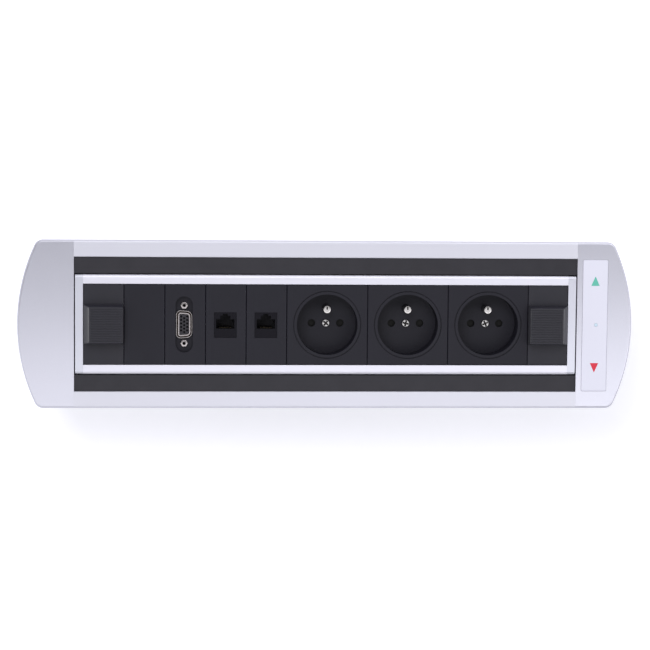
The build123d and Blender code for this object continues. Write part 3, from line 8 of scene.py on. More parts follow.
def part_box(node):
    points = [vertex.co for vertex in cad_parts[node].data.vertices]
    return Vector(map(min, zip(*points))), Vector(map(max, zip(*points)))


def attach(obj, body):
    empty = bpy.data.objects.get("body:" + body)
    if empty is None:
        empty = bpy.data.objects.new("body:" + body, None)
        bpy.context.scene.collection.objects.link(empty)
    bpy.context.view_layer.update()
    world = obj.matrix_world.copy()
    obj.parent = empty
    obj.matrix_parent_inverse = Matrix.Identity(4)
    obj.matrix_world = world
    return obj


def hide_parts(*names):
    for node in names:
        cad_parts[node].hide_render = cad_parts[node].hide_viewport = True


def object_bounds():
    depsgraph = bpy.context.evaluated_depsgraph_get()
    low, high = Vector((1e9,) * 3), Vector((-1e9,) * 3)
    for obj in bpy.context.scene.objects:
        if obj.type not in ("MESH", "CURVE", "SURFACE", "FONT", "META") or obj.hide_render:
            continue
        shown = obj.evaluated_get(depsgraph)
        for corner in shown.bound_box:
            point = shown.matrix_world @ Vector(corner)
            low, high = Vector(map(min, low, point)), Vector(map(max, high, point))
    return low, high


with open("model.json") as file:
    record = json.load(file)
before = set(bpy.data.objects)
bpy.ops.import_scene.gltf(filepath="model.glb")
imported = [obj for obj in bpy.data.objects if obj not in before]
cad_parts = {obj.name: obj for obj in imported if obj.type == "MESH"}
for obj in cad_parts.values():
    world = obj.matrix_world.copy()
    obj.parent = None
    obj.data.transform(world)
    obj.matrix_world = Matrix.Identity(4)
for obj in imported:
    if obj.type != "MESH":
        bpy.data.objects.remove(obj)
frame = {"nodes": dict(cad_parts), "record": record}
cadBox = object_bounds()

nodes = frame["nodes"]
print("frame loaded:", len(nodes), "nodes")


# Camera: above the desk, leaning a little towards the back edge and the left end

camera = {
    "distance": 1.45,
    "leanBack": 5.0,      # degrees, as the next two
    "leanLeft": 4.0,
    "roll": 0.50,
    "framed": 0.4296,     # width of desk top that fills the picture, in metres
    "aimX": -0.0012,
    "aimY": -0.0004,
    "clipNear": 0.01,
    "clipFar": 50.0,
}


def addCamera(spec):
    back = math.tan(math.radians(spec["leanBack"]))
    left = math.tan(math.radians(spec["leanLeft"]))
    away = Vector((-left, back, 1.0)).normalized()
    aim = Vector((spec["aimX"], spec["aimY"], 0.0))
    right = Vector((0.0, 1.0, 0.0)).cross(away).normalized()
    up = away.cross(right)
    turn = Matrix((right, up, away)).transposed().to_4x4()
    turn = turn @ Matrix.Rotation(math.radians(spec["roll"]), 4, "Z")
    data = bpy.data.cameras.new("photoCamera")
    data.sensor_fit = "AUTO"
    data.angle = 2 * math.atan(spec["framed"] / 2 / spec["distance"])
    data.clip_start = spec["clipNear"]
    data.clip_end = spec["clipFar"]
    view = bpy.data.objects.new("photoCamera", data)
    view.matrix_world = Matrix.Translation(aim + away * spec["distance"]) @ turn
    bpy.context.collection.objects.link(view)
    bpy.context.scene.camera = view


addCamera(camera)
print("camera placed")


# Shader maths: a socket with operators, and one method for every other node

class Shade:
    def __init__(self, tree, socket=None):
        self.tree = tree
        self.socket = socket

    def feed(self, target, value):
        if isinstance(value, Shade):
            self.tree.links.new(value.socket, target)
        elif isinstance(value, tuple) and len(value) == 3 and target.type == "RGBA":
            target.default_value = (*value, 1.0)
        else:
            target.default_value = value

    def node(self, kind, settings=None, inputs=None, output=0):
        # inputs and output go by name, or by number where names repeat
        made = self.tree.nodes.new("ShaderNode" + kind)
        for name, value in (settings or {}).items():
            if name == "stops":
                while len(made.color_ramp.elements) < len(value):
                    made.color_ramp.elements.new(0.5)
                for element, (place, colour) in zip(made.color_ramp.elements, value):
                    element.position = place
                    element.color = (*colour, 1.0)
            else:
                setattr(made, name, value)
        for name, value in (inputs or {}).items():
            self.feed(made.inputs[name], value)
        return Shade(self.tree, made.outputs[output] if made.outputs else None)

    def combine(self, operation, first, second):
        return self.node("Math", {"operation": operation}, {0: first, 1: second})

    def __add__(self, other):
        return self.combine("ADD", self, other)

    __radd__ = __add__

    def __mul__(self, other):
        return self.combine("MULTIPLY", self, other)

    __rmul__ = __mul__

    def __sub__(self, other):
        return self.combine("SUBTRACT", self, other)

    def __rsub__(self, other):
        return self.combine("SUBTRACT", other, self)

    def __gt__(self, other):
        return self.combine("GREATER_THAN", self, other)


noiseMiddle = 0.5
bumpDepth = 0.0001
bevelSamples = 4
smearStretch = (60.0, 25.0, 60.0)


def newMaterial(name):
    material = bpy.data.materials.new(name)
    material.use_nodes = True
    material.node_tree.nodes.clear()
    return material, Shade(material.node_tree)


def blendColours(shade, mask, first, second):
    return shade.node("Mix", {"data_type": "RGBA"}, {0: mask, 6: first, 7: second}, output=2)


def placed(shade, stretch=(1.0, 1.0, 1.0)):
    spots = shade.node("TexCoord", output="Object")
    return shade.node("Mapping", None, {"Vector": spots, "Scale": stretch})


def noise(shade, where, scale, detail=2.0, roughness=0.5):
    values = {"Vector": where, "Scale": scale, "Detail": detail, "Roughness": roughness}
    return shade.node("TexNoise", None, values)


def cellTone(shade, where, scale):
    # one tone for each cell
    cells = {"Vector": where, "Scale": scale}
    cell = shade.node("TexVoronoi", {"feature": "F1"}, cells, output="Color")
    return shade.node("RGBToBW", None, {"Color": cell})


def uneven(spec, pattern):
    # roughness that follows a pattern
    return spec["rough"] + (pattern - noiseMiddle) * spec["roughSpread"]


def finishSurface(shade, height, spec, surface):
    # fine relief over softened edges, then the shader
    bump = {"Strength": spec["bump"], "Distance": bumpDepth, "Height": height}
    bump["Normal"] = shade.node("Bevel", {"samples": bevelSamples}, {"Radius": spec["bevel"]})
    surface["Normal"] = shade.node("Bump", None, bump)
    shader = shade.node("BsdfPrincipled", None, surface)
    shade.node("OutputMaterial", None, {"Surface": shader})


def metalMaterial(name, spec):
    # brushed or drawn metal: fine lines along one axis over a soft cloudiness
    material, shade = newMaterial(name)
    lines = noise(shade, placed(shade, spec["lines"]), 1.0, detail=3.0, roughness=0.6)
    cloud = noise(shade, placed(shade), spec["cloud"], detail=3.0)
    tone = blendColours(shade, cloud, spec["dark"], spec["light"])
    surface = {
        "Base Color": tone,
        "Metallic": 1.0,
        "Roughness": uneven(spec, lines),
    }
    finishSurface(shade, lines, spec, surface)
    return material


def plasticMaterial(name, spec):
    # moulded plastic: eroded mould grain, faint flow patches and handling smears
    material, shade = newMaterial(name)
    where = placed(shade)
    grain = noise(shade, where, spec["grain"], roughness=0.6)
    patch = noise(shade, where, spec["patch"], detail=4.0)
    smear = noise(shade, placed(shade, smearStretch), 1.0, detail=3.0)
    tone = blendColours(shade, patch, spec["dark"], spec["light"])
    surface = {
        "Base Color": tone,
        "Roughness": uneven(spec, smear),
        "Specular IOR Level": spec["level"],
    }
    finishSurface(shade, grain, spec, surface)
    return material


def depthMaterial(name, spec):
    # plastic with another tone below a given height; for the insulator the lower tone is slightly darker,
    # a painted shade in its holes
    material, shade = newMaterial(name)
    where = placed(shade)
    grain = noise(shade, where, spec["grain"], roughness=0.6)
    patch = noise(shade, where, spec["patch"], detail=4.0)
    height = shade.node("SeparateXYZ", None, {"Vector": where}, output="Z")
    faceTone = blendColours(shade, patch, spec["dark"], spec["light"])
    surface = {
        "Base Color": blendColours(shade, height > spec["face"], spec["deep"], faceTone),
        "Roughness": uneven(spec, patch),
        "Specular IOR Level": spec["level"],
    }
    finishSurface(shade, grain, spec, surface)
    return material


def paintMaterial(name, spec):
    # silver paint: flakes that differ in tone, with orange peel below the lacquer
    material, shade = newMaterial(name)
    where = placed(shade)
    flake = cellTone(shade, where, spec["flake"])
    peel = noise(shade, where, spec["peel"])
    tone = blendColours(shade, flake, spec["dark"], spec["light"])
    surface = {
        "Base Color": tone,
        "Metallic": spec["metallic"],
        "Roughness": uneven(spec, peel),
        "Coat Weight": spec["coat"],
        "Coat Roughness": spec["coatRough"],
    }
    finishSurface(shade, peel + flake * spec["flakeRelief"], spec, surface)
    return material


def zincMaterial(name, spec):
    # zinc plated sheet: pale crystals of slightly different tone and gloss
    material, shade = newMaterial(name)
    where = placed(shade)
    crystal = cellTone(shade, where, spec["crystal"])
    fine = noise(shade, where, spec["fine"], detail=3.0)
    tone = blendColours(shade, crystal, spec["dark"], spec["light"])
    surface = {
        "Base Color": tone,
        "Metallic": 1.0,
        "Roughness": uneven(spec, crystal),
    }
    finishSurface(shade, fine, spec, surface)
    return material


# Finishes, one entry each

brushedAlongX = (14.0, 2600.0, 2600.0)
brushedAlongY = (2600.0, 14.0, 2600.0)
turned = (900.0, 900.0, 900.0)
plated = (700.0, 700.0, 700.0)

railMetal = {
    "lines": brushedAlongX,
    "cloud": 9.0,
    "dark": (0.514, 0.514, 0.580),
    "light": (0.544, 0.544, 0.614),
    "rough": 0.55,
    "roughSpread": 0.10,
    "bump": 0.12,
    "bevel": 0.0003,
}
stripMetal = dict(railMetal, dark=(0.58, 0.575, 0.65), light=(0.62, 0.615, 0.695), rough=0.50)
plateMetal = dict(
    railMetal,
    lines=brushedAlongY,
    dark=(0.475, 0.48, 0.55),
    light=(0.51, 0.515, 0.59),
    rough=0.42,
)
screwMetal = dict(railMetal, lines=turned, dark=(0.38, 0.37, 0.38), light=(0.50, 0.49, 0.50), rough=0.30)
nickelMetal = dict(
    railMetal,
    lines=plated,
    dark=(0.44, 0.425, 0.43),
    light=(0.55, 0.53, 0.54),
    rough=0.20,
    bevel=0.0002,
)
shellMetal = dict(nickelMetal, dark=(0.31, 0.285, 0.295), light=(0.385, 0.36, 0.37), rough=0.24)
# the brass contacts are painted near black: painted shade in the jack openings
brassShadeMetal = dict(nickelMetal, dark=(0.050, 0.039, 0.026), light=(0.075, 0.058, 0.038), rough=0.40)
# near-black metal for the faces deep in recesses: painted shade
paintedShadeMetal = dict(
    railMetal,
    lines=plated,
    dark=(0.030, 0.028, 0.030),
    light=(0.055, 0.050, 0.050),
    rough=0.60,
)
# near-black brownish nickel for the shell's gap: painted shade
paintedGapShadeMetal = dict(paintedShadeMetal, dark=(0.045, 0.035, 0.030), light=(0.075, 0.060, 0.050))
motorMetal = dict(railMetal, lines=brushedAlongY, dark=(0.46, 0.46, 0.47), light=(0.56, 0.56, 0.57))
capPaint = {
    "flake": 6500.0,
    "flakeRelief": 0.3,
    "peel": 420.0,
    "dark": (0.460, 0.460, 0.528),
    "light": (0.510, 0.510, 0.588),
    "metallic": 0.85,
    "rough": 0.33,
    "roughSpread": 0.05,
    "coat": 0.10,
    "coatRough": 0.25,
    "bump": 0.04,
    "bevel": 0.0003,
}
zincSheet = {
    "crystal": 160.0,
    "fine": 900.0,
    "dark": (0.40, 0.41, 0.43),
    "light": (0.53, 0.54, 0.57),
    "rough": 0.34,
    "roughSpread": 0.14,
    "bump": 0.05,
    "bevel": 0.0003,
}
modulePlastic = {
    "grain": 3200.0,
    "patch": 45.0,
    "dark": (0.0038, 0.0034, 0.0095),
    "light": (0.0058, 0.0053, 0.0128),
    "rough": 0.56,
    "roughSpread": 0.12,
    "level": 0.26,
    "bump": 0.30,
    "bevel": 0.0002,
}
endPlastic = dict(modulePlastic, dark=(0.0065, 0.0060, 0.0135), light=(0.0090, 0.0083, 0.0165), level=0.36)
lipPlastic = dict(
    modulePlastic,
    grain=1500.0,
    patch=90.0,
    dark=(0.016, 0.015, 0.021),
    light=(0.025, 0.0235, 0.031),
    rough=0.50,
)
jackPlastic = dict(
    modulePlastic,
    dark=(0.0024, 0.0020, 0.0055),
    light=(0.0034, 0.0029, 0.0068),
    level=0.12,
    face=0.0030,                    # height above which the face tone is used
    deep=(0.0170, 0.0165, 0.0200),
)
# below its face the insulator takes the slightly darker deep tone: painted shade in its holes
insulatorPlastic = dict(
    jackPlastic,
    dark=(0.017, 0.0155, 0.021),
    light=(0.023, 0.021, 0.028),
    level=0.30,
    face=0.00245,
)
innerPlastic = dict(modulePlastic, dark=(0.002, 0.002, 0.003), light=(0.003, 0.003, 0.004), level=0.15)
# the grey shutters are painted near black: painted shade in the contact holes
shutterShadePlastic = dict(modulePlastic, dark=(0.002, 0.002, 0.002), light=(0.004, 0.004, 0.004), level=0.15)
ivoryPlastic = dict(
    modulePlastic,
    dark=(0.62, 0.61, 0.56),
    light=(0.70, 0.69, 0.64),
    rough=0.42,
    bump=0.12,
    level=0.5,
)
keyPlastic = dict(ivoryPlastic, dark=(0.58, 0.58, 0.58), light=(0.66, 0.66, 0.66))
panelFilm = dict(
    ivoryPlastic,
    grain=5200.0,
    dark=(0.78, 0.78, 0.88),
    light=(0.81, 0.81, 0.91),
    rough=0.40,
    bump=0.05,
    level=0.3,
)
greenInk = dict(panelFilm, dark=(0.11, 0.52, 0.40), light=(0.15, 0.58, 0.46))
redInk = dict(panelFilm, dark=(0.67, 0.018, 0.048), light=(0.75, 0.024, 0.058))
lightLens = dict(panelFilm, dark=(0.64, 0.79, 0.91), light=(0.70, 0.85, 0.95), rough=0.18)
boardMask = dict(
    ivoryPlastic,
    grain=900.0,
    dark=(0.010, 0.10, 0.045),
    light=(0.018, 0.17, 0.075),
    rough=0.30,
)
softRubber = dict(
    ivoryPlastic,
    grain=1800.0,
    dark=(0.014, 0.014, 0.014),
    light=(0.020, 0.020, 0.020),
    rough=0.70,
)

finishes = {
    "cap_paint": paintMaterial("capPaint", capPaint),
    "rail_aluminium": metalMaterial("railMetal", railMetal),
    "rotor_aluminium": metalMaterial("stripMetal", stripMetal),
    "lip_black": plasticMaterial("lipPlastic", lipPlastic),
    "module_black": plasticMaterial("modulePlastic", modulePlastic),
    "end_module_black": plasticMaterial("endPlastic", endPlastic),
    "inner_black": plasticMaterial("innerPlastic", innerPlastic),
    "shutter_grey": plasticMaterial("shutterShadePlastic", shutterShadePlastic),
    "zinc_steel": zincMaterial("zincSheet", zincSheet),
    "screw_steel": metalMaterial("screwMetal", screwMetal),
    "nickel": metalMaterial("nickelMetal", nickelMetal),
    "contact_brass": metalMaterial("brassShadeMetal", brassShadeMetal),
    "bearing_plastic": plasticMaterial("ivoryPlastic", ivoryPlastic),
    "panel_film": plasticMaterial("panelFilm", panelFilm),
    "arrow_green": plasticMaterial("greenInk", greenInk),
    "arrow_red": plasticMaterial("redInk", redInk),
    "light_lens": plasticMaterial("lightLens", lightLens),
    "board_green": plasticMaterial("boardMask", boardMask),
    "key_plastic": plasticMaterial("keyPlastic", keyPlastic),
    "motor_steel": metalMaterial("motorMetal", motorMetal),
    "grommet_rubber": plasticMaterial("softRubber", softRubber),
    "wire_sleeve": plasticMaterial("sleeveRubber", softRubber),
}
endPlateFinish = metalMaterial("plateMetal", plateMetal)
# painted shade for the deep faces of recesses
paintedShadeSteel = metalMaterial("paintedShadeSteel", paintedShadeMetal)
# painted shade for the gap of the video shell
paintedGapShadeNickel = metalMaterial("paintedGapShadeNickel", paintedGapShadeMetal)
shellFinish = metalMaterial("shellMetal", shellMetal)
jackFinish = depthMaterial("jackPlastic", jackPlastic)
insulatorFinish = depthMaterial("insulatorPlastic", insulatorPlastic)


def dressNodes():
    for row in frame["record"]["subparts"]:
        obj = nodes[row["node"]]
        finish = finishes[row["material_slot"]]
        if row["node"].startswith("data_jack"):
            finish = jackFinish
        if row["node"].startswith("rotor_end_") and row["node"] != "rotor_end_screws":
            finish = endPlateFinish
        obj.data.materials.clear()
        obj.data.materials.append(finish)


dressNodes()
print("nodes dressed")


# Finer pieces, each in place of a CAD node: a primitive, shaped in edit mode

closeBy = 0.00001                 # places this close count as one
aligned = 0.9                     # a direction counts as along an axis from here on
flatRim = 0.00005
sharpAngle = math.radians(45)
smoothAngle = math.radians(32)
socketCentres = []
for number in (1, 2, 3):
    low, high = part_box(f"socket_face_{number}")
    socketCentres.append((low + high) / 2)


def chooseNothing():
    if bpy.context.mode != "OBJECT":
        bpy.ops.object.mode_set(mode="OBJECT")
    bpy.ops.object.select_all(action="DESELECT")


def chooseOnly(obj):
    chooseNothing()
    obj.select_set(True)
    bpy.context.view_layer.objects.active = obj


def settle():
    bpy.ops.object.transform_apply(location=True, rotation=True, scale=True)
    return bpy.context.active_object


def addBlock(centre, size):
    chooseNothing()
    bpy.ops.mesh.primitive_cube_add(size=1, location=centre, scale=size)
    return settle()


def addRound(centre, radius, depth, sides=48):
    chooseNothing()
    bpy.ops.mesh.primitive_cylinder_add(vertices=sides, radius=radius, depth=depth, location=centre)
    return settle()


def near(value, target):
    return abs(value - target) < closeBy


def everyFace(centre, normal):
    return True


def facesUp(centre, normal):
    return normal.z > aligned


def facesDown(centre, normal):
    return normal.z < -aligned


def takesPaintedShade(centre, top, spec):
    # deep enough in a recess to get the painted shade
    return top - spec["shadeTo"] < centre.z < top - spec["shadeFrom"]


def startPicking(obj, kind):
    # edit mode with nothing selected
    chooseOnly(obj)
    bpy.ops.object.mode_set(mode="EDIT")
    bpy.ops.mesh.select_mode(type=kind)
    bpy.ops.mesh.select_all(action="DESELECT")


def edgeEnds(mesh, edge):
    return [mesh.vertices[index].co for index in edge.vertices]


def pickFaces(obj, wanted):
    # selects faces by centre and normal, and stays in edit mode
    startPicking(obj, "FACE")
    bpy.ops.object.mode_set(mode="OBJECT")
    for face in obj.data.polygons:
        face.select = bool(wanted(face.center, face.normal))
    bpy.ops.object.mode_set(mode="EDIT")


def pickEdges(obj, wanted):
    # selects edges by middle and direction, and stays in edit mode
    startPicking(obj, "EDGE")
    bpy.ops.object.mode_set(mode="OBJECT")
    for edge in obj.data.edges:
        start, end = edgeEnds(obj.data, edge)
        edge.select = bool(wanted((start + end) / 2, (end - start).normalized()))
    bpy.ops.object.mode_set(mode="EDIT")


def cutAt(level):
    # cuts the whole mesh at one height
    bpy.ops.mesh.select_all(action="SELECT")
    bpy.ops.mesh.bisect(plane_co=(0, 0, level), plane_no=(0, 0, 1))


def faceOutwards():
    bpy.ops.mesh.select_all(action="SELECT")
    bpy.ops.mesh.normals_make_consistent(inside=False)


def extrudeBy(shift):
    bpy.ops.mesh.extrude_region_move(TRANSFORM_OT_translate={"value": shift})


def roundEdges(width, segments):
    bpy.ops.mesh.bevel(offset_type="OFFSET", offset=width, segments=segments, affect="EDGES")


def roundLevel(obj, level, width, segments):
    # rounds the sharp edges that lie at one height
    startPicking(obj, "EDGE")
    bpy.ops.mesh.edges_select_sharp(sharpness=sharpAngle)
    bpy.ops.object.mode_set(mode="OBJECT")
    for edge in obj.data.edges:
        start, end = edgeEnds(obj.data, edge)
        edge.select = edge.select and near(start.z, level) and near(end.z, level)
    bpy.ops.object.mode_set(mode="EDIT")
    roundEdges(width, segments)


def flattenTop(obj, level):
    # a rim inside the top face, so that smooth shading leaves the face flat
    pickFaces(obj, lambda centre, normal: near(centre.z, level))
    bpy.ops.mesh.inset(thickness=flatRim)


def useModifier(obj, kind, settings):
    chooseOnly(obj)
    modifier = obj.modifiers.new(kind.title(), kind)
    for name, value in settings.items():
        setattr(modifier, name, value)
    bpy.ops.object.modifier_apply(modifier=modifier.name)


def useBoolean(obj, other, operation):
    useModifier(obj, "BOOLEAN", {"operation": operation, "object": other, "solver": "EXACT"})
    bpy.data.objects.remove(other)


def carve(obj, cutter):
    useBoolean(obj, cutter, "DIFFERENCE")


def fuse(obj, other):
    useBoolean(obj, other, "UNION")


def copyOf(obj, shift=(0, 0, 0)):
    # a copy with its own mesh, left in edit mode
    chooseOnly(obj)
    bpy.ops.object.duplicate(linked=False)
    made = bpy.context.active_object
    bpy.ops.object.mode_set(mode="EDIT")
    bpy.ops.mesh.select_all(action="SELECT")
    bpy.ops.transform.translate(value=shift)
    return made


def joined(pieces):
    chooseOnly(pieces[0])
    for piece in pieces:
        piece.select_set(True)
    bpy.ops.object.join()
    return bpy.context.active_object


def dressWithPaintedShade(obj, finish, paintedShade, wanted):
    # the wanted faces get the second finish, a painted shade
    obj.data.materials.append(finish)
    obj.data.materials.append(paintedShade)
    pickFaces(obj, wanted)
    obj.active_material_index = 1
    bpy.ops.object.material_slot_assign()
    bpy.ops.object.mode_set(mode="OBJECT")


def standFor(obj, name, node, slot):
    chooseOnly(obj)
    bpy.ops.object.shade_smooth_by_angle(angle=smoothAngle)
    obj.name = name
    if not obj.data.materials:
        obj.data.materials.append(finishes[slot])
    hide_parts(node)
    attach(obj, "rotor")


# Raised blocks of the end modules: drafted sides, sloping outer end, rounded ribs

ribbedBlock = {
    "foot": 0.0012,
    "draft": 0.0012,
    "lean": 0.0003,
    "slope": 0.0035,
    "crown": 0.0006,
    "upright": 0.5,           # edges steeper than this are rounded as the top's are
    "ribPitch": 0.0016,
    "groove": 0.0007,
    "ribDepth": 0.0004,
    "ribMargin": 0.0012,
    "ribRound": 0.00016,
    "ribSharp": math.radians(50),
}


def buildBlock(spec):
    low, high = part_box("end_block_left")
    size = high - low
    block = addBlock((low + high) / 2, size)
    bpy.ops.object.mode_set(mode="EDIT")
    cutAt(low.z + spec["foot"])
    pickFaces(block, facesUp)
    narrowed = (size.y - 2 * spec["draft"]) / size.y
    bpy.ops.transform.resize(value=(1, narrowed, 1), center_override=(0, 0, high.z))
    pickEdges(block, lambda middle, way: near(middle.z, high.z) and near(middle.x, low.x))
    bpy.ops.transform.translate(value=(spec["slope"], 0, 0))
    pickEdges(block, lambda middle, way: near(middle.z, high.z) and near(middle.x, high.x))
    bpy.ops.transform.translate(value=(-spec["lean"], 0, 0))
    pickEdges(block, lambda middle, way: near(middle.z, high.z) or abs(way.z) > spec["upright"])
    roundEdges(spec["crown"], segments=4)
    start = low.x + spec["slope"] + spec["ribMargin"]
    ribs = int((size.y - 2 * (spec["draft"] + spec["ribMargin"])) / spec["ribPitch"]) + 1
    first = -(ribs - 1) * spec["ribPitch"] / 2
    middle = (start + size.x / 2, first, high.z)
    cutter = addBlock(middle, (size.x, spec["groove"], 2 * spec["ribDepth"]))
    row = {
        "count": ribs,
        "use_relative_offset": False,
        "use_constant_offset": True,
        "constant_offset_displace": (0, spec["ribPitch"], 0),
    }
    useModifier(cutter, "ARRAY", row)
    carve(block, cutter)
    rounding = {
        "width": spec["ribRound"],
        "segments": 2,
        "limit_method": "ANGLE",
        "angle_limit": spec["ribSharp"],
    }
    useModifier(block, "BEVEL", rounding)
    return block


leftBlock = buildBlock(ribbedBlock)
rightBlock = copyOf(leftBlock)
bpy.ops.transform.resize(value=(-1, 1, 1), center_override=(0, 0, 0))
faceOutwards()
standFor(leftBlock, "ribbedBlockLeft", "end_block_left", "end_module_black")
standFor(rightBlock, "ribbedBlockRight", "end_block_right", "end_module_black")
print("ribbed blocks done")


# Centre screws of the sockets: domed heads with a tapered cross recess

crossScrew = {
    "headRadius": 0.00239,
    "headHeight": 0.0016,
    "crown": 0.0005,
    "shankRadius": 0.00145,
    "tip": 0.0004,
    "crossLength": 0.0051,
    "crossWidth": 0.0014,
    "crossDepth": 0.0013,
    "crossTaper": 0.55,
    "shadeFrom": 0.00015,
    "shadeTo": 0.002,
    "turns": (38.0, 14.0, -24.0),     # degrees
}


def buildScrews(spec):
    low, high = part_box("socket_screws")
    first = socketCentres[0]
    spot = (first.x, first.y, high.z - spec["headHeight"] / 2)
    screw = addRound(spot, spec["headRadius"], spec["headHeight"])
    pickFaces(screw, facesDown)
    bpy.ops.mesh.inset(thickness=spec["headRadius"] - spec["shankRadius"])
    extrudeBy((0, 0, low.z - high.z + spec["headHeight"]))
    roundLevel(screw, low.z, spec["tip"], segments=2)
    roundLevel(screw, high.z, spec["crown"], segments=6)
    flattenTop(screw, high.z)
    taper = (spec["crossTaper"], spec["crossTaper"], 1)
    bar = (spec["crossLength"], spec["crossWidth"])
    for length, width in (bar, bar[::-1]):
        cutter = addBlock((first.x, first.y, high.z), (length, width, 2 * spec["crossDepth"]))
        pickFaces(cutter, facesDown)
        bpy.ops.transform.resize(value=taper, center_override=(first.x, first.y, 0))
        carve(screw, cutter)

    # the cross recess's deep faces are painted dark: painted shade
    def inCross(centre, normal):
        aside = math.hypot(centre.x - first.x, centre.y - first.y)
        return aside < spec["crossLength"] / 2 and takesPaintedShade(centre, high.z, spec)

    dressWithPaintedShade(screw, finishes["screw_steel"], paintedShadeSteel, inCross)
    screws = []
    for centre, turn in zip(socketCentres, spec["turns"]):
        screws.append(copyOf(screw, (centre.x - first.x, 0, 0)))
        spot = (centre.x, centre.y, 0)
        bpy.ops.transform.rotate(value=math.radians(turn), orient_axis="Z", center_override=spot)
    chooseOnly(screws[0])
    bpy.data.objects.remove(screw)
    return joined(screws)


standFor(buildScrews(crossScrew), "socketScrews", "socket_screws", "screw_steel")
print("socket screws done")


# Earth pins: tapered tips with a short slot from the middle up

earthPin = {
    "tipRadius": 0.00205,
    "tipHeight": 0.0016,
    "crown": 0.00018,
    "slotWidth": 0.0010,
    "slotHeight": 0.0019,
    "slotDepth": 0.0010,
    "slotMargin": 0.00005,
    "shadeFrom": 0.0002,
    "shadeTo": 0.0015,
    "footRound": 0.0003,
}


def buildPins(spec):
    low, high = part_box("earth_pins")
    first = socketCentres[0]
    middleY = (low.y + high.y) / 2
    pin = addRound((first.x, middleY, (low.z + high.z) / 2), (high.y - low.y) / 2, high.z - low.z)
    roundLevel(pin, low.z, spec["footRound"], segments=2)
    cutAt(high.z - spec["tipHeight"])
    pickFaces(pin, lambda centre, normal: near(centre.z, high.z))
    narrowed = 2 * spec["tipRadius"] / (high.y - low.y)
    bpy.ops.transform.resize(value=(narrowed, narrowed, 1), center_override=(first.x, middleY, high.z))
    roundLevel(pin, high.z, spec["crown"], segments=4)
    flattenTop(pin, high.z)
    spot = (first.x, middleY + spec["slotHeight"] / 2, high.z)
    carve(pin, addBlock(spot, (spec["slotWidth"], spec["slotHeight"], 2 * spec["slotDepth"])))

    # the slot's deep faces are painted dark: painted shade
    def inSlot(centre, normal):
        across = abs(centre.x - spot[0]) < spec["slotWidth"] / 2 + spec["slotMargin"]
        along = abs(centre.y - spot[1]) < spec["slotHeight"] / 2 + spec["slotMargin"]
        return across and along and takesPaintedShade(centre, high.z, spec)

    dressWithPaintedShade(pin, finishes["nickel"], paintedShadeSteel, inSlot)
    pins = [copyOf(pin, (centre.x - first.x, 0, 0)) for centre in socketCentres]
    chooseOnly(pins[0])
    bpy.data.objects.remove(pin)
    return joined(pins)


standFor(buildPins(earthPin), "earthPins", "earth_pins", "nickel")
print("earth pins done")


# Jackscrews of the video connector: hexagons with a ringed bore and a round shank

jackscrew = {
    "crown": 0.0005,
    "shankRadius": 0.0014,
    "headHeight": 0.0026,
    "boreRadius": 0.0011,
    "boreDepth": 0.0040,
    "threadPitch": 0.0005,
    "threadReach": 1.16,
    "shadeFrom": 0.0002,
    "shadeTo": 0.00404,
}


def buildJackscrews(spec):
    low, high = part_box("video_jackscrews")
    radius = (high.x - low.x) / 2
    spot = Vector(((low.x + high.x) / 2, high.y - radius * math.cos(math.pi / 6), 0))
    headPlace = (spot.x, spot.y, high.z - spec["headHeight"] / 2)
    screw = addRound(headPlace, radius, spec["headHeight"], sides=6)
    bpy.ops.object.mode_set(mode="EDIT")
    bpy.ops.mesh.select_all(action="SELECT")
    bpy.ops.transform.rotate(value=math.pi / 2, orient_axis="Z", center_override=spot)
    roundLevel(screw, high.z, spec["crown"], segments=4)
    shankHeight = headPlace[2] - low.z
    shank = addRound((spot.x, spot.y, low.z + shankHeight / 2), spec["shankRadius"], shankHeight)
    roundLevel(shank, low.z, spec["crown"] / 2, segments=2)
    fuse(screw, shank)
    cutter = addRound((spot.x, spot.y, high.z), spec["boreRadius"], 2 * spec["boreDepth"], sides=32)
    rings = int(spec["boreDepth"] / spec["threadPitch"] * 2) - 1
    levels = [high.z - spec["threadPitch"] * (number + 1) / 2 for number in range(rings)]
    bpy.ops.object.mode_set(mode="EDIT")
    for level in levels:
        cutAt(level)
    grown = (spec["threadReach"], spec["threadReach"], 1)
    for level in levels[1::2]:
        pickEdges(cutter, lambda middle, way: near(middle.z, level))
        bpy.ops.transform.resize(value=grown, center_override=(spot.x, spot.y, level))
    carve(screw, cutter)

    # the bore's deep faces are painted dark: painted shade
    def inBore(centre, normal):
        aside = math.hypot(centre.x - spot.x, centre.y - spot.y)
        return aside < spec["boreRadius"] * spec["threadReach"] and takesPaintedShade(centre, high.z, spec)

    dressWithPaintedShade(screw, shellFinish, paintedShadeSteel, inBore)
    return joined([screw, copyOf(screw, (0, -2 * spot.y, 0))])


standFor(buildJackscrews(jackscrew), "videoJackscrews", "video_jackscrews", "nickel")
print("jackscrews done")


# Shell of the video connector: a D-shaped tube, and the raised edge of its flange

videoShell = {
    "longSide": 0.0190,
    "shortSide": 0.0170,
    "corner": 0.0033,
    "edgeWall": 0.0005,
    "gap": 0.0008,
    "tubeWall": 0.0009,
    "flange": 0.0006,
    "edgeRise": 0.0019,
    "back": 0.0025,
    "edgeRound": 0.00016,
    "tubeRound": 0.0003,
    "shadeRise": 0.0010,      # from here up the gap's walls get the painted shade
    "wallLean": 0.2,          # a wall's normal rises or falls by less than this
}


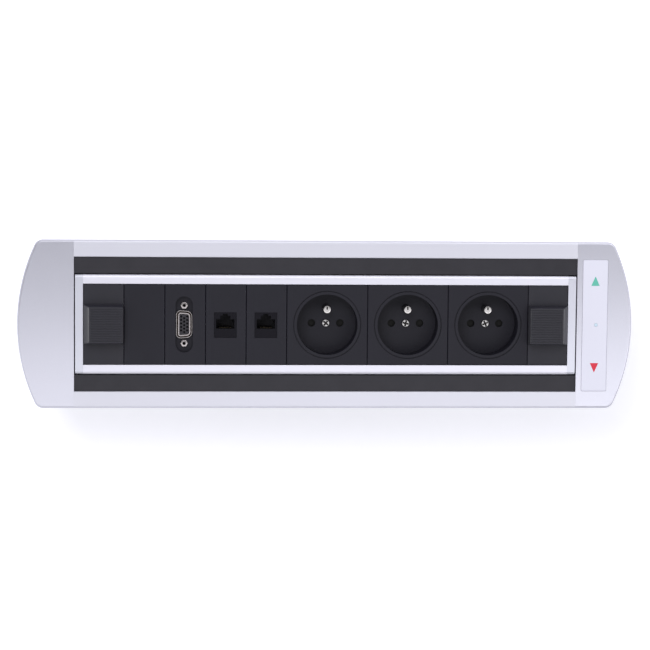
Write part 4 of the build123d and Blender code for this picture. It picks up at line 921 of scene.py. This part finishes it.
def addOutline(spec, middle, width, level, inset=0.0):
    # a D-shaped face, its long side to the left
    chooseNothing()
    bpy.ops.mesh.primitive_plane_add(size=1, location=(middle.x, middle.y, level))
    outline = settle()
    pickFaces(outline, everyFace)
    size = (width - 2 * inset, spec["longSide"] - 2 * inset, 1)
    bpy.ops.transform.resize(value=size, center_override=(middle.x, middle.y, level))
    pickEdges(outline, lambda spot, way: near(spot.x, middle.x + size[0] / 2))
    shorter = (1, (spec["shortSide"] - 2 * inset) / size[1], 1)
    bpy.ops.transform.resize(value=shorter, center_override=(middle.x, middle.y, level))
    bpy.ops.mesh.select_mode(type="VERT")
    bpy.ops.mesh.select_all(action="SELECT")
    corner = spec["corner"] - inset
    bpy.ops.mesh.bevel(offset_type="OFFSET", offset=corner, segments=8, affect="VERTICES")
    return outline


def buildShell(spec):
    low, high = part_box("video_shell")
    middle = (low + high) / 2
    base = low.z + spec["back"]
    edgeTop = base + spec["edgeRise"]
    shell = addOutline(spec, middle, high.x - low.x, base)
    # the edge rises, the gap sinks to the flange, the tube rises from it
    pickFaces(shell, everyFace)
    extrudeBy((0, 0, spec["edgeRise"]))
    bpy.ops.mesh.inset(thickness=spec["edgeWall"])
    extrudeBy((0, 0, spec["flange"] - spec["edgeRise"]))
    bpy.ops.mesh.inset(thickness=spec["gap"])
    extrudeBy((0, 0, high.z - base - spec["flange"]))
    bpy.ops.mesh.inset(thickness=spec["tubeWall"])
    # underneath the tube goes on down, and a bridge opens it from end to end
    pickFaces(shell, lambda centre, normal: near(centre.z, base) and abs(normal.z) > aligned)
    bpy.ops.mesh.inset(thickness=spec["edgeWall"] + spec["gap"])
    extrudeBy((0, 0, low.z - base))
    bpy.ops.mesh.inset(thickness=spec["tubeWall"])

    def isEnd(centre, normal):
        outward = near(centre.z, high.z) or near(centre.z, low.z)
        return outward and math.hypot(centre.x - middle.x, centre.y - middle.y) < spec["tubeWall"]

    pickFaces(shell, isEnd)
    bpy.ops.mesh.bridge_edge_loops()
    faceOutwards()
    roundLevel(shell, edgeTop, spec["edgeRound"], segments=3)
    roundLevel(shell, high.z, spec["tubeRound"], segments=4)

    # the gap's floor and walls are painted dark: painted shade
    def inGap(centre, normal):
        floor = near(centre.z, base + spec["flange"])
        wall = base + spec["shadeRise"] < centre.z < edgeTop - spec["edgeRound"]
        return floor or wall and abs(normal.z) < spec["wallLean"]

    dressWithPaintedShade(shell, shellFinish, paintedGapShadeNickel, inGap)
    return shell


standFor(buildShell(videoShell), "videoShell", "video_shell", "nickel")
print("video shell done")


# Insulator of the video connector: funnel-mouthed holes in three staggered columns

insulator = {
    "clearance": 0.00225,     # flange's outside to the insulator's
    "blockTop": -0.0020,
    "overlap": 0.001,         # the tongue starts inside the block
    "blockRound": 0.0004,
    "faceRound": 0.0002,
    "holeRadius": 0.00050,
    "mouthRadius": 0.00080,
    "mouthDepth": 0.0005,
    "holeDepth": 0.0036,
    "rows": 5,
    "rowPitch": 0.00229,
    "columnPitch": 0.00198,
    "screwHole": 0.00146,
    "screwSpacing": 0.02499,
}


def buildInsulator(spec):
    low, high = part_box("video_insulator")
    shellLow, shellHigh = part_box("video_shell")
    middle = (low + high) / 2
    body = addBlock(
        (middle.x, middle.y, (low.z + spec["blockTop"]) / 2),
        (high.x - low.x, high.y - low.y, spec["blockTop"] - low.z),
    )
    pickEdges(body, lambda spot, way: abs(way.z) > aligned)
    roundEdges(spec["blockRound"], segments=3)
    root = spec["blockTop"] - spec["overlap"]
    tongue = addOutline(videoShell, middle, shellHigh.x - shellLow.x, root, spec["clearance"])
    pickFaces(tongue, everyFace)
    extrudeBy((0, 0, high.z - root))
    faceOutwards()
    roundLevel(tongue, high.z, spec["faceRound"], segments=2)
    fuse(body, tongue)
    for side in (-1, 1):
        spot = (middle.x, middle.y + side * spec["screwSpacing"] / 2, spec["blockTop"])
        carve(body, addRound(spot, spec["screwHole"], 4 * (spec["blockTop"] - low.z), sides=32))
    hole = addRound((middle.x, middle.y, high.z), spec["holeRadius"], 2 * spec["holeDepth"], sides=20)
    bpy.ops.object.mode_set(mode="EDIT")
    cutAt(high.z - spec["mouthDepth"])
    pickFaces(hole, facesUp)
    flare = (spec["mouthRadius"] - spec["holeRadius"]) / spec["mouthDepth"]
    wider = 1 + flare * (spec["holeDepth"] + spec["mouthDepth"]) / spec["holeRadius"]
    bpy.ops.transform.resize(value=(wider, wider, 1), center_override=(middle.x, middle.y, 0))
    for column in (-1, 0, 1):
        stagger = (-1 if column == 0 else 1) * spec["rowPitch"] / 4
        firstRow = stagger - (spec["rows"] - 1) * spec["rowPitch"] / 2
        for row in range(spec["rows"]):
            shift = (column * spec["columnPitch"], firstRow + row * spec["rowPitch"], 0)
            carve(body, copyOf(hole, shift))
    bpy.data.objects.remove(hole)
    body.data.materials.append(insulatorFinish)
    return body


standFor(buildInsulator(insulator), "videoInsulator", "video_insulator", "inner_black")
print("video insulator done")


# Floor, lights and backdrop

studio = {
    "floorDrop": 0.0004,      # below the lowest piece
    "floorSize": 8.0,
    "floorTint": (0.86, 0.86, 0.91),
    "floorLift": 0.42,        # glow of the paper, to the camera
    "floorShine": 0.9,        # the same in reflections, as a multiple
    "ambient": 0.70,          # light from all sides on the object
    "ambientTint": (0.94, 0.94, 1.0),
    "cardHeight": 0.45,
    "cardSize": 1.8,
    "cardReach": 0.40,        # the glow changes over this far to the front and to the back
    "cardTop": 2.5,           # the strongest glow that the list may hold
    "cardGlow": (             # place from front to back, then strength
        (-0.38, 0.75),
        (-0.20, 2.05),
        (-0.08, 2.10),
        (0.01, 0.45),
        (0.18, 0.45),
        (0.32, 1.20),
    ),
    "cardLean": 0.80,         # brighter towards the right end, per metre
    "cardTwist": 3.0,         # and more so towards the back
    "horizon": 1.40,          # backdrop in reflections
}
lamps = (
    {
        "name": "keyLamp",
        "place": (-0.45, 0.80, 1.30),
        "size": 0.9,
        "power": 11.0,
        "shineOnly": False,
    },
    {
        "name": "leftShine",
        "place": (-0.90, 0.0, 0.15),
        "size": 0.3,
        "power": 10.6,
        "shineOnly": True,
    },
    {
        "name": "rightShine",
        "place": (0.90, 0.0, 0.15),
        "size": 0.3,
        "power": 7.4,
        "shineOnly": True,
    },
)


def addLamp(spec, shinyPieces):
    # a lamp for shine alone reaches only the shiny pieces
    data = bpy.data.lights.new(spec["name"], "AREA")
    data.shape = "SQUARE"
    data.size = spec["size"]
    data.energy = spec["power"]
    lamp = bpy.data.objects.new(spec["name"], data)
    lamp.location = spec["place"]
    lamp.rotation_euler = Vector(spec["place"]).to_track_quat("Z", "Y").to_euler()
    lamp.visible_camera = False
    lamp.visible_diffuse = not spec["shineOnly"]
    if spec["shineOnly"]:
        lamp.light_linking.receiver_collection = shinyPieces
    bpy.context.collection.objects.link(lamp)


def addPlane(name, size, level):
    chooseNothing()
    bpy.ops.mesh.primitive_plane_add(size=size, location=(0, 0, level))
    plane = settle()
    plane.name = name
    return plane


def rayKind(shade, kind):
    return shade.node("LightPath", output=f"Is {kind} Ray")


def buildFloor(spec):
    floor = addPlane("studioFloor", spec["floorSize"], cadBox[0].z - spec["floorDrop"])
    material, shade = newMaterial("floorPaper")
    seen = rayKind(shade, "Camera") + rayKind(shade, "Glossy") * spec["floorShine"]
    paper = shade.node("BsdfDiffuse", None, {"Color": spec["floorTint"]})
    lift = shade.node("Emission", None, {"Strength": seen * spec["floorLift"]})
    both = shade.node("AddShader", None, {0: paper, 1: lift})
    shade.node("OutputMaterial", None, {"Surface": both})
    floor.data.materials.append(material)


def buildCard(spec):
    # reflector over the desk, for shine alone, brightest towards the front edge
    card = addPlane("studioCard", spec["cardSize"], spec["cardHeight"])
    card.visible_camera = False
    card.visible_diffuse = False
    card.visible_transmission = False
    card.visible_shadow = False
    material, shade = newMaterial("cardGlow")
    spots = shade.node("TexCoord", output="Object")
    across = shade.node("SeparateXYZ", None, {"Vector": spots}, output="X")
    along = shade.node("SeparateXYZ", None, {"Vector": spots}, output="Y")
    # the ramp's middle lies over the desk socket's middle line
    perMetre = 0.5 / spec["cardReach"]
    stops = []
    for where, level in spec["cardGlow"]:
        stops.append((0.5 + perMetre * where, (level / spec["cardTop"],) * 3))
    ramp = shade.node("ValToRGB", {"stops": stops}, {"Fac": along * perMetre + 0.5})
    glow = shade.node("RGBToBW", None, {"Color": ramp}) * spec["cardTop"]
    lean = along * spec["cardTwist"] + spec["cardLean"]
    glow = glow * (across * lean + 1.0)
    shine = shade.node("Emission", None, {"Strength": glow})
    shade.node("OutputMaterial", None, {"Surface": shine})
    card.data.materials.append(material)


def buildWorld(spec):
    world = bpy.data.worlds.new("studioWorld")
    bpy.context.scene.world = world
    world.use_nodes = True
    world.node_tree.nodes.clear()
    shade = Shade(world.node_tree)
    glossyRay = rayKind(shade, "Glossy")
    white = rayKind(shade, "Camera") + glossyRay + rayKind(shade, "Transmission") > 0.5
    tint = blendColours(shade, white, spec["ambientTint"], (1.0, 1.0, 1.0))
    level = white * (1.0 - spec["ambient"]) + glossyRay * (spec["horizon"] - 1.0) + spec["ambient"]
    back = shade.node("Background", None, {"Color": tint, "Strength": level})
    shade.node("OutputWorld", None, {"Surface": back})


shinyBlocks = bpy.data.collections.new("shinyBlocks")
for block in (leftBlock, rightBlock):
    shinyBlocks.objects.link(block)
buildFloor(studio)
for lampSpec in lamps:
    addLamp(lampSpec, shinyBlocks)
buildCard(studio)
buildWorld(studio)
bpy.context.scene.view_settings.view_transform = "Standard"
print("studio lit")
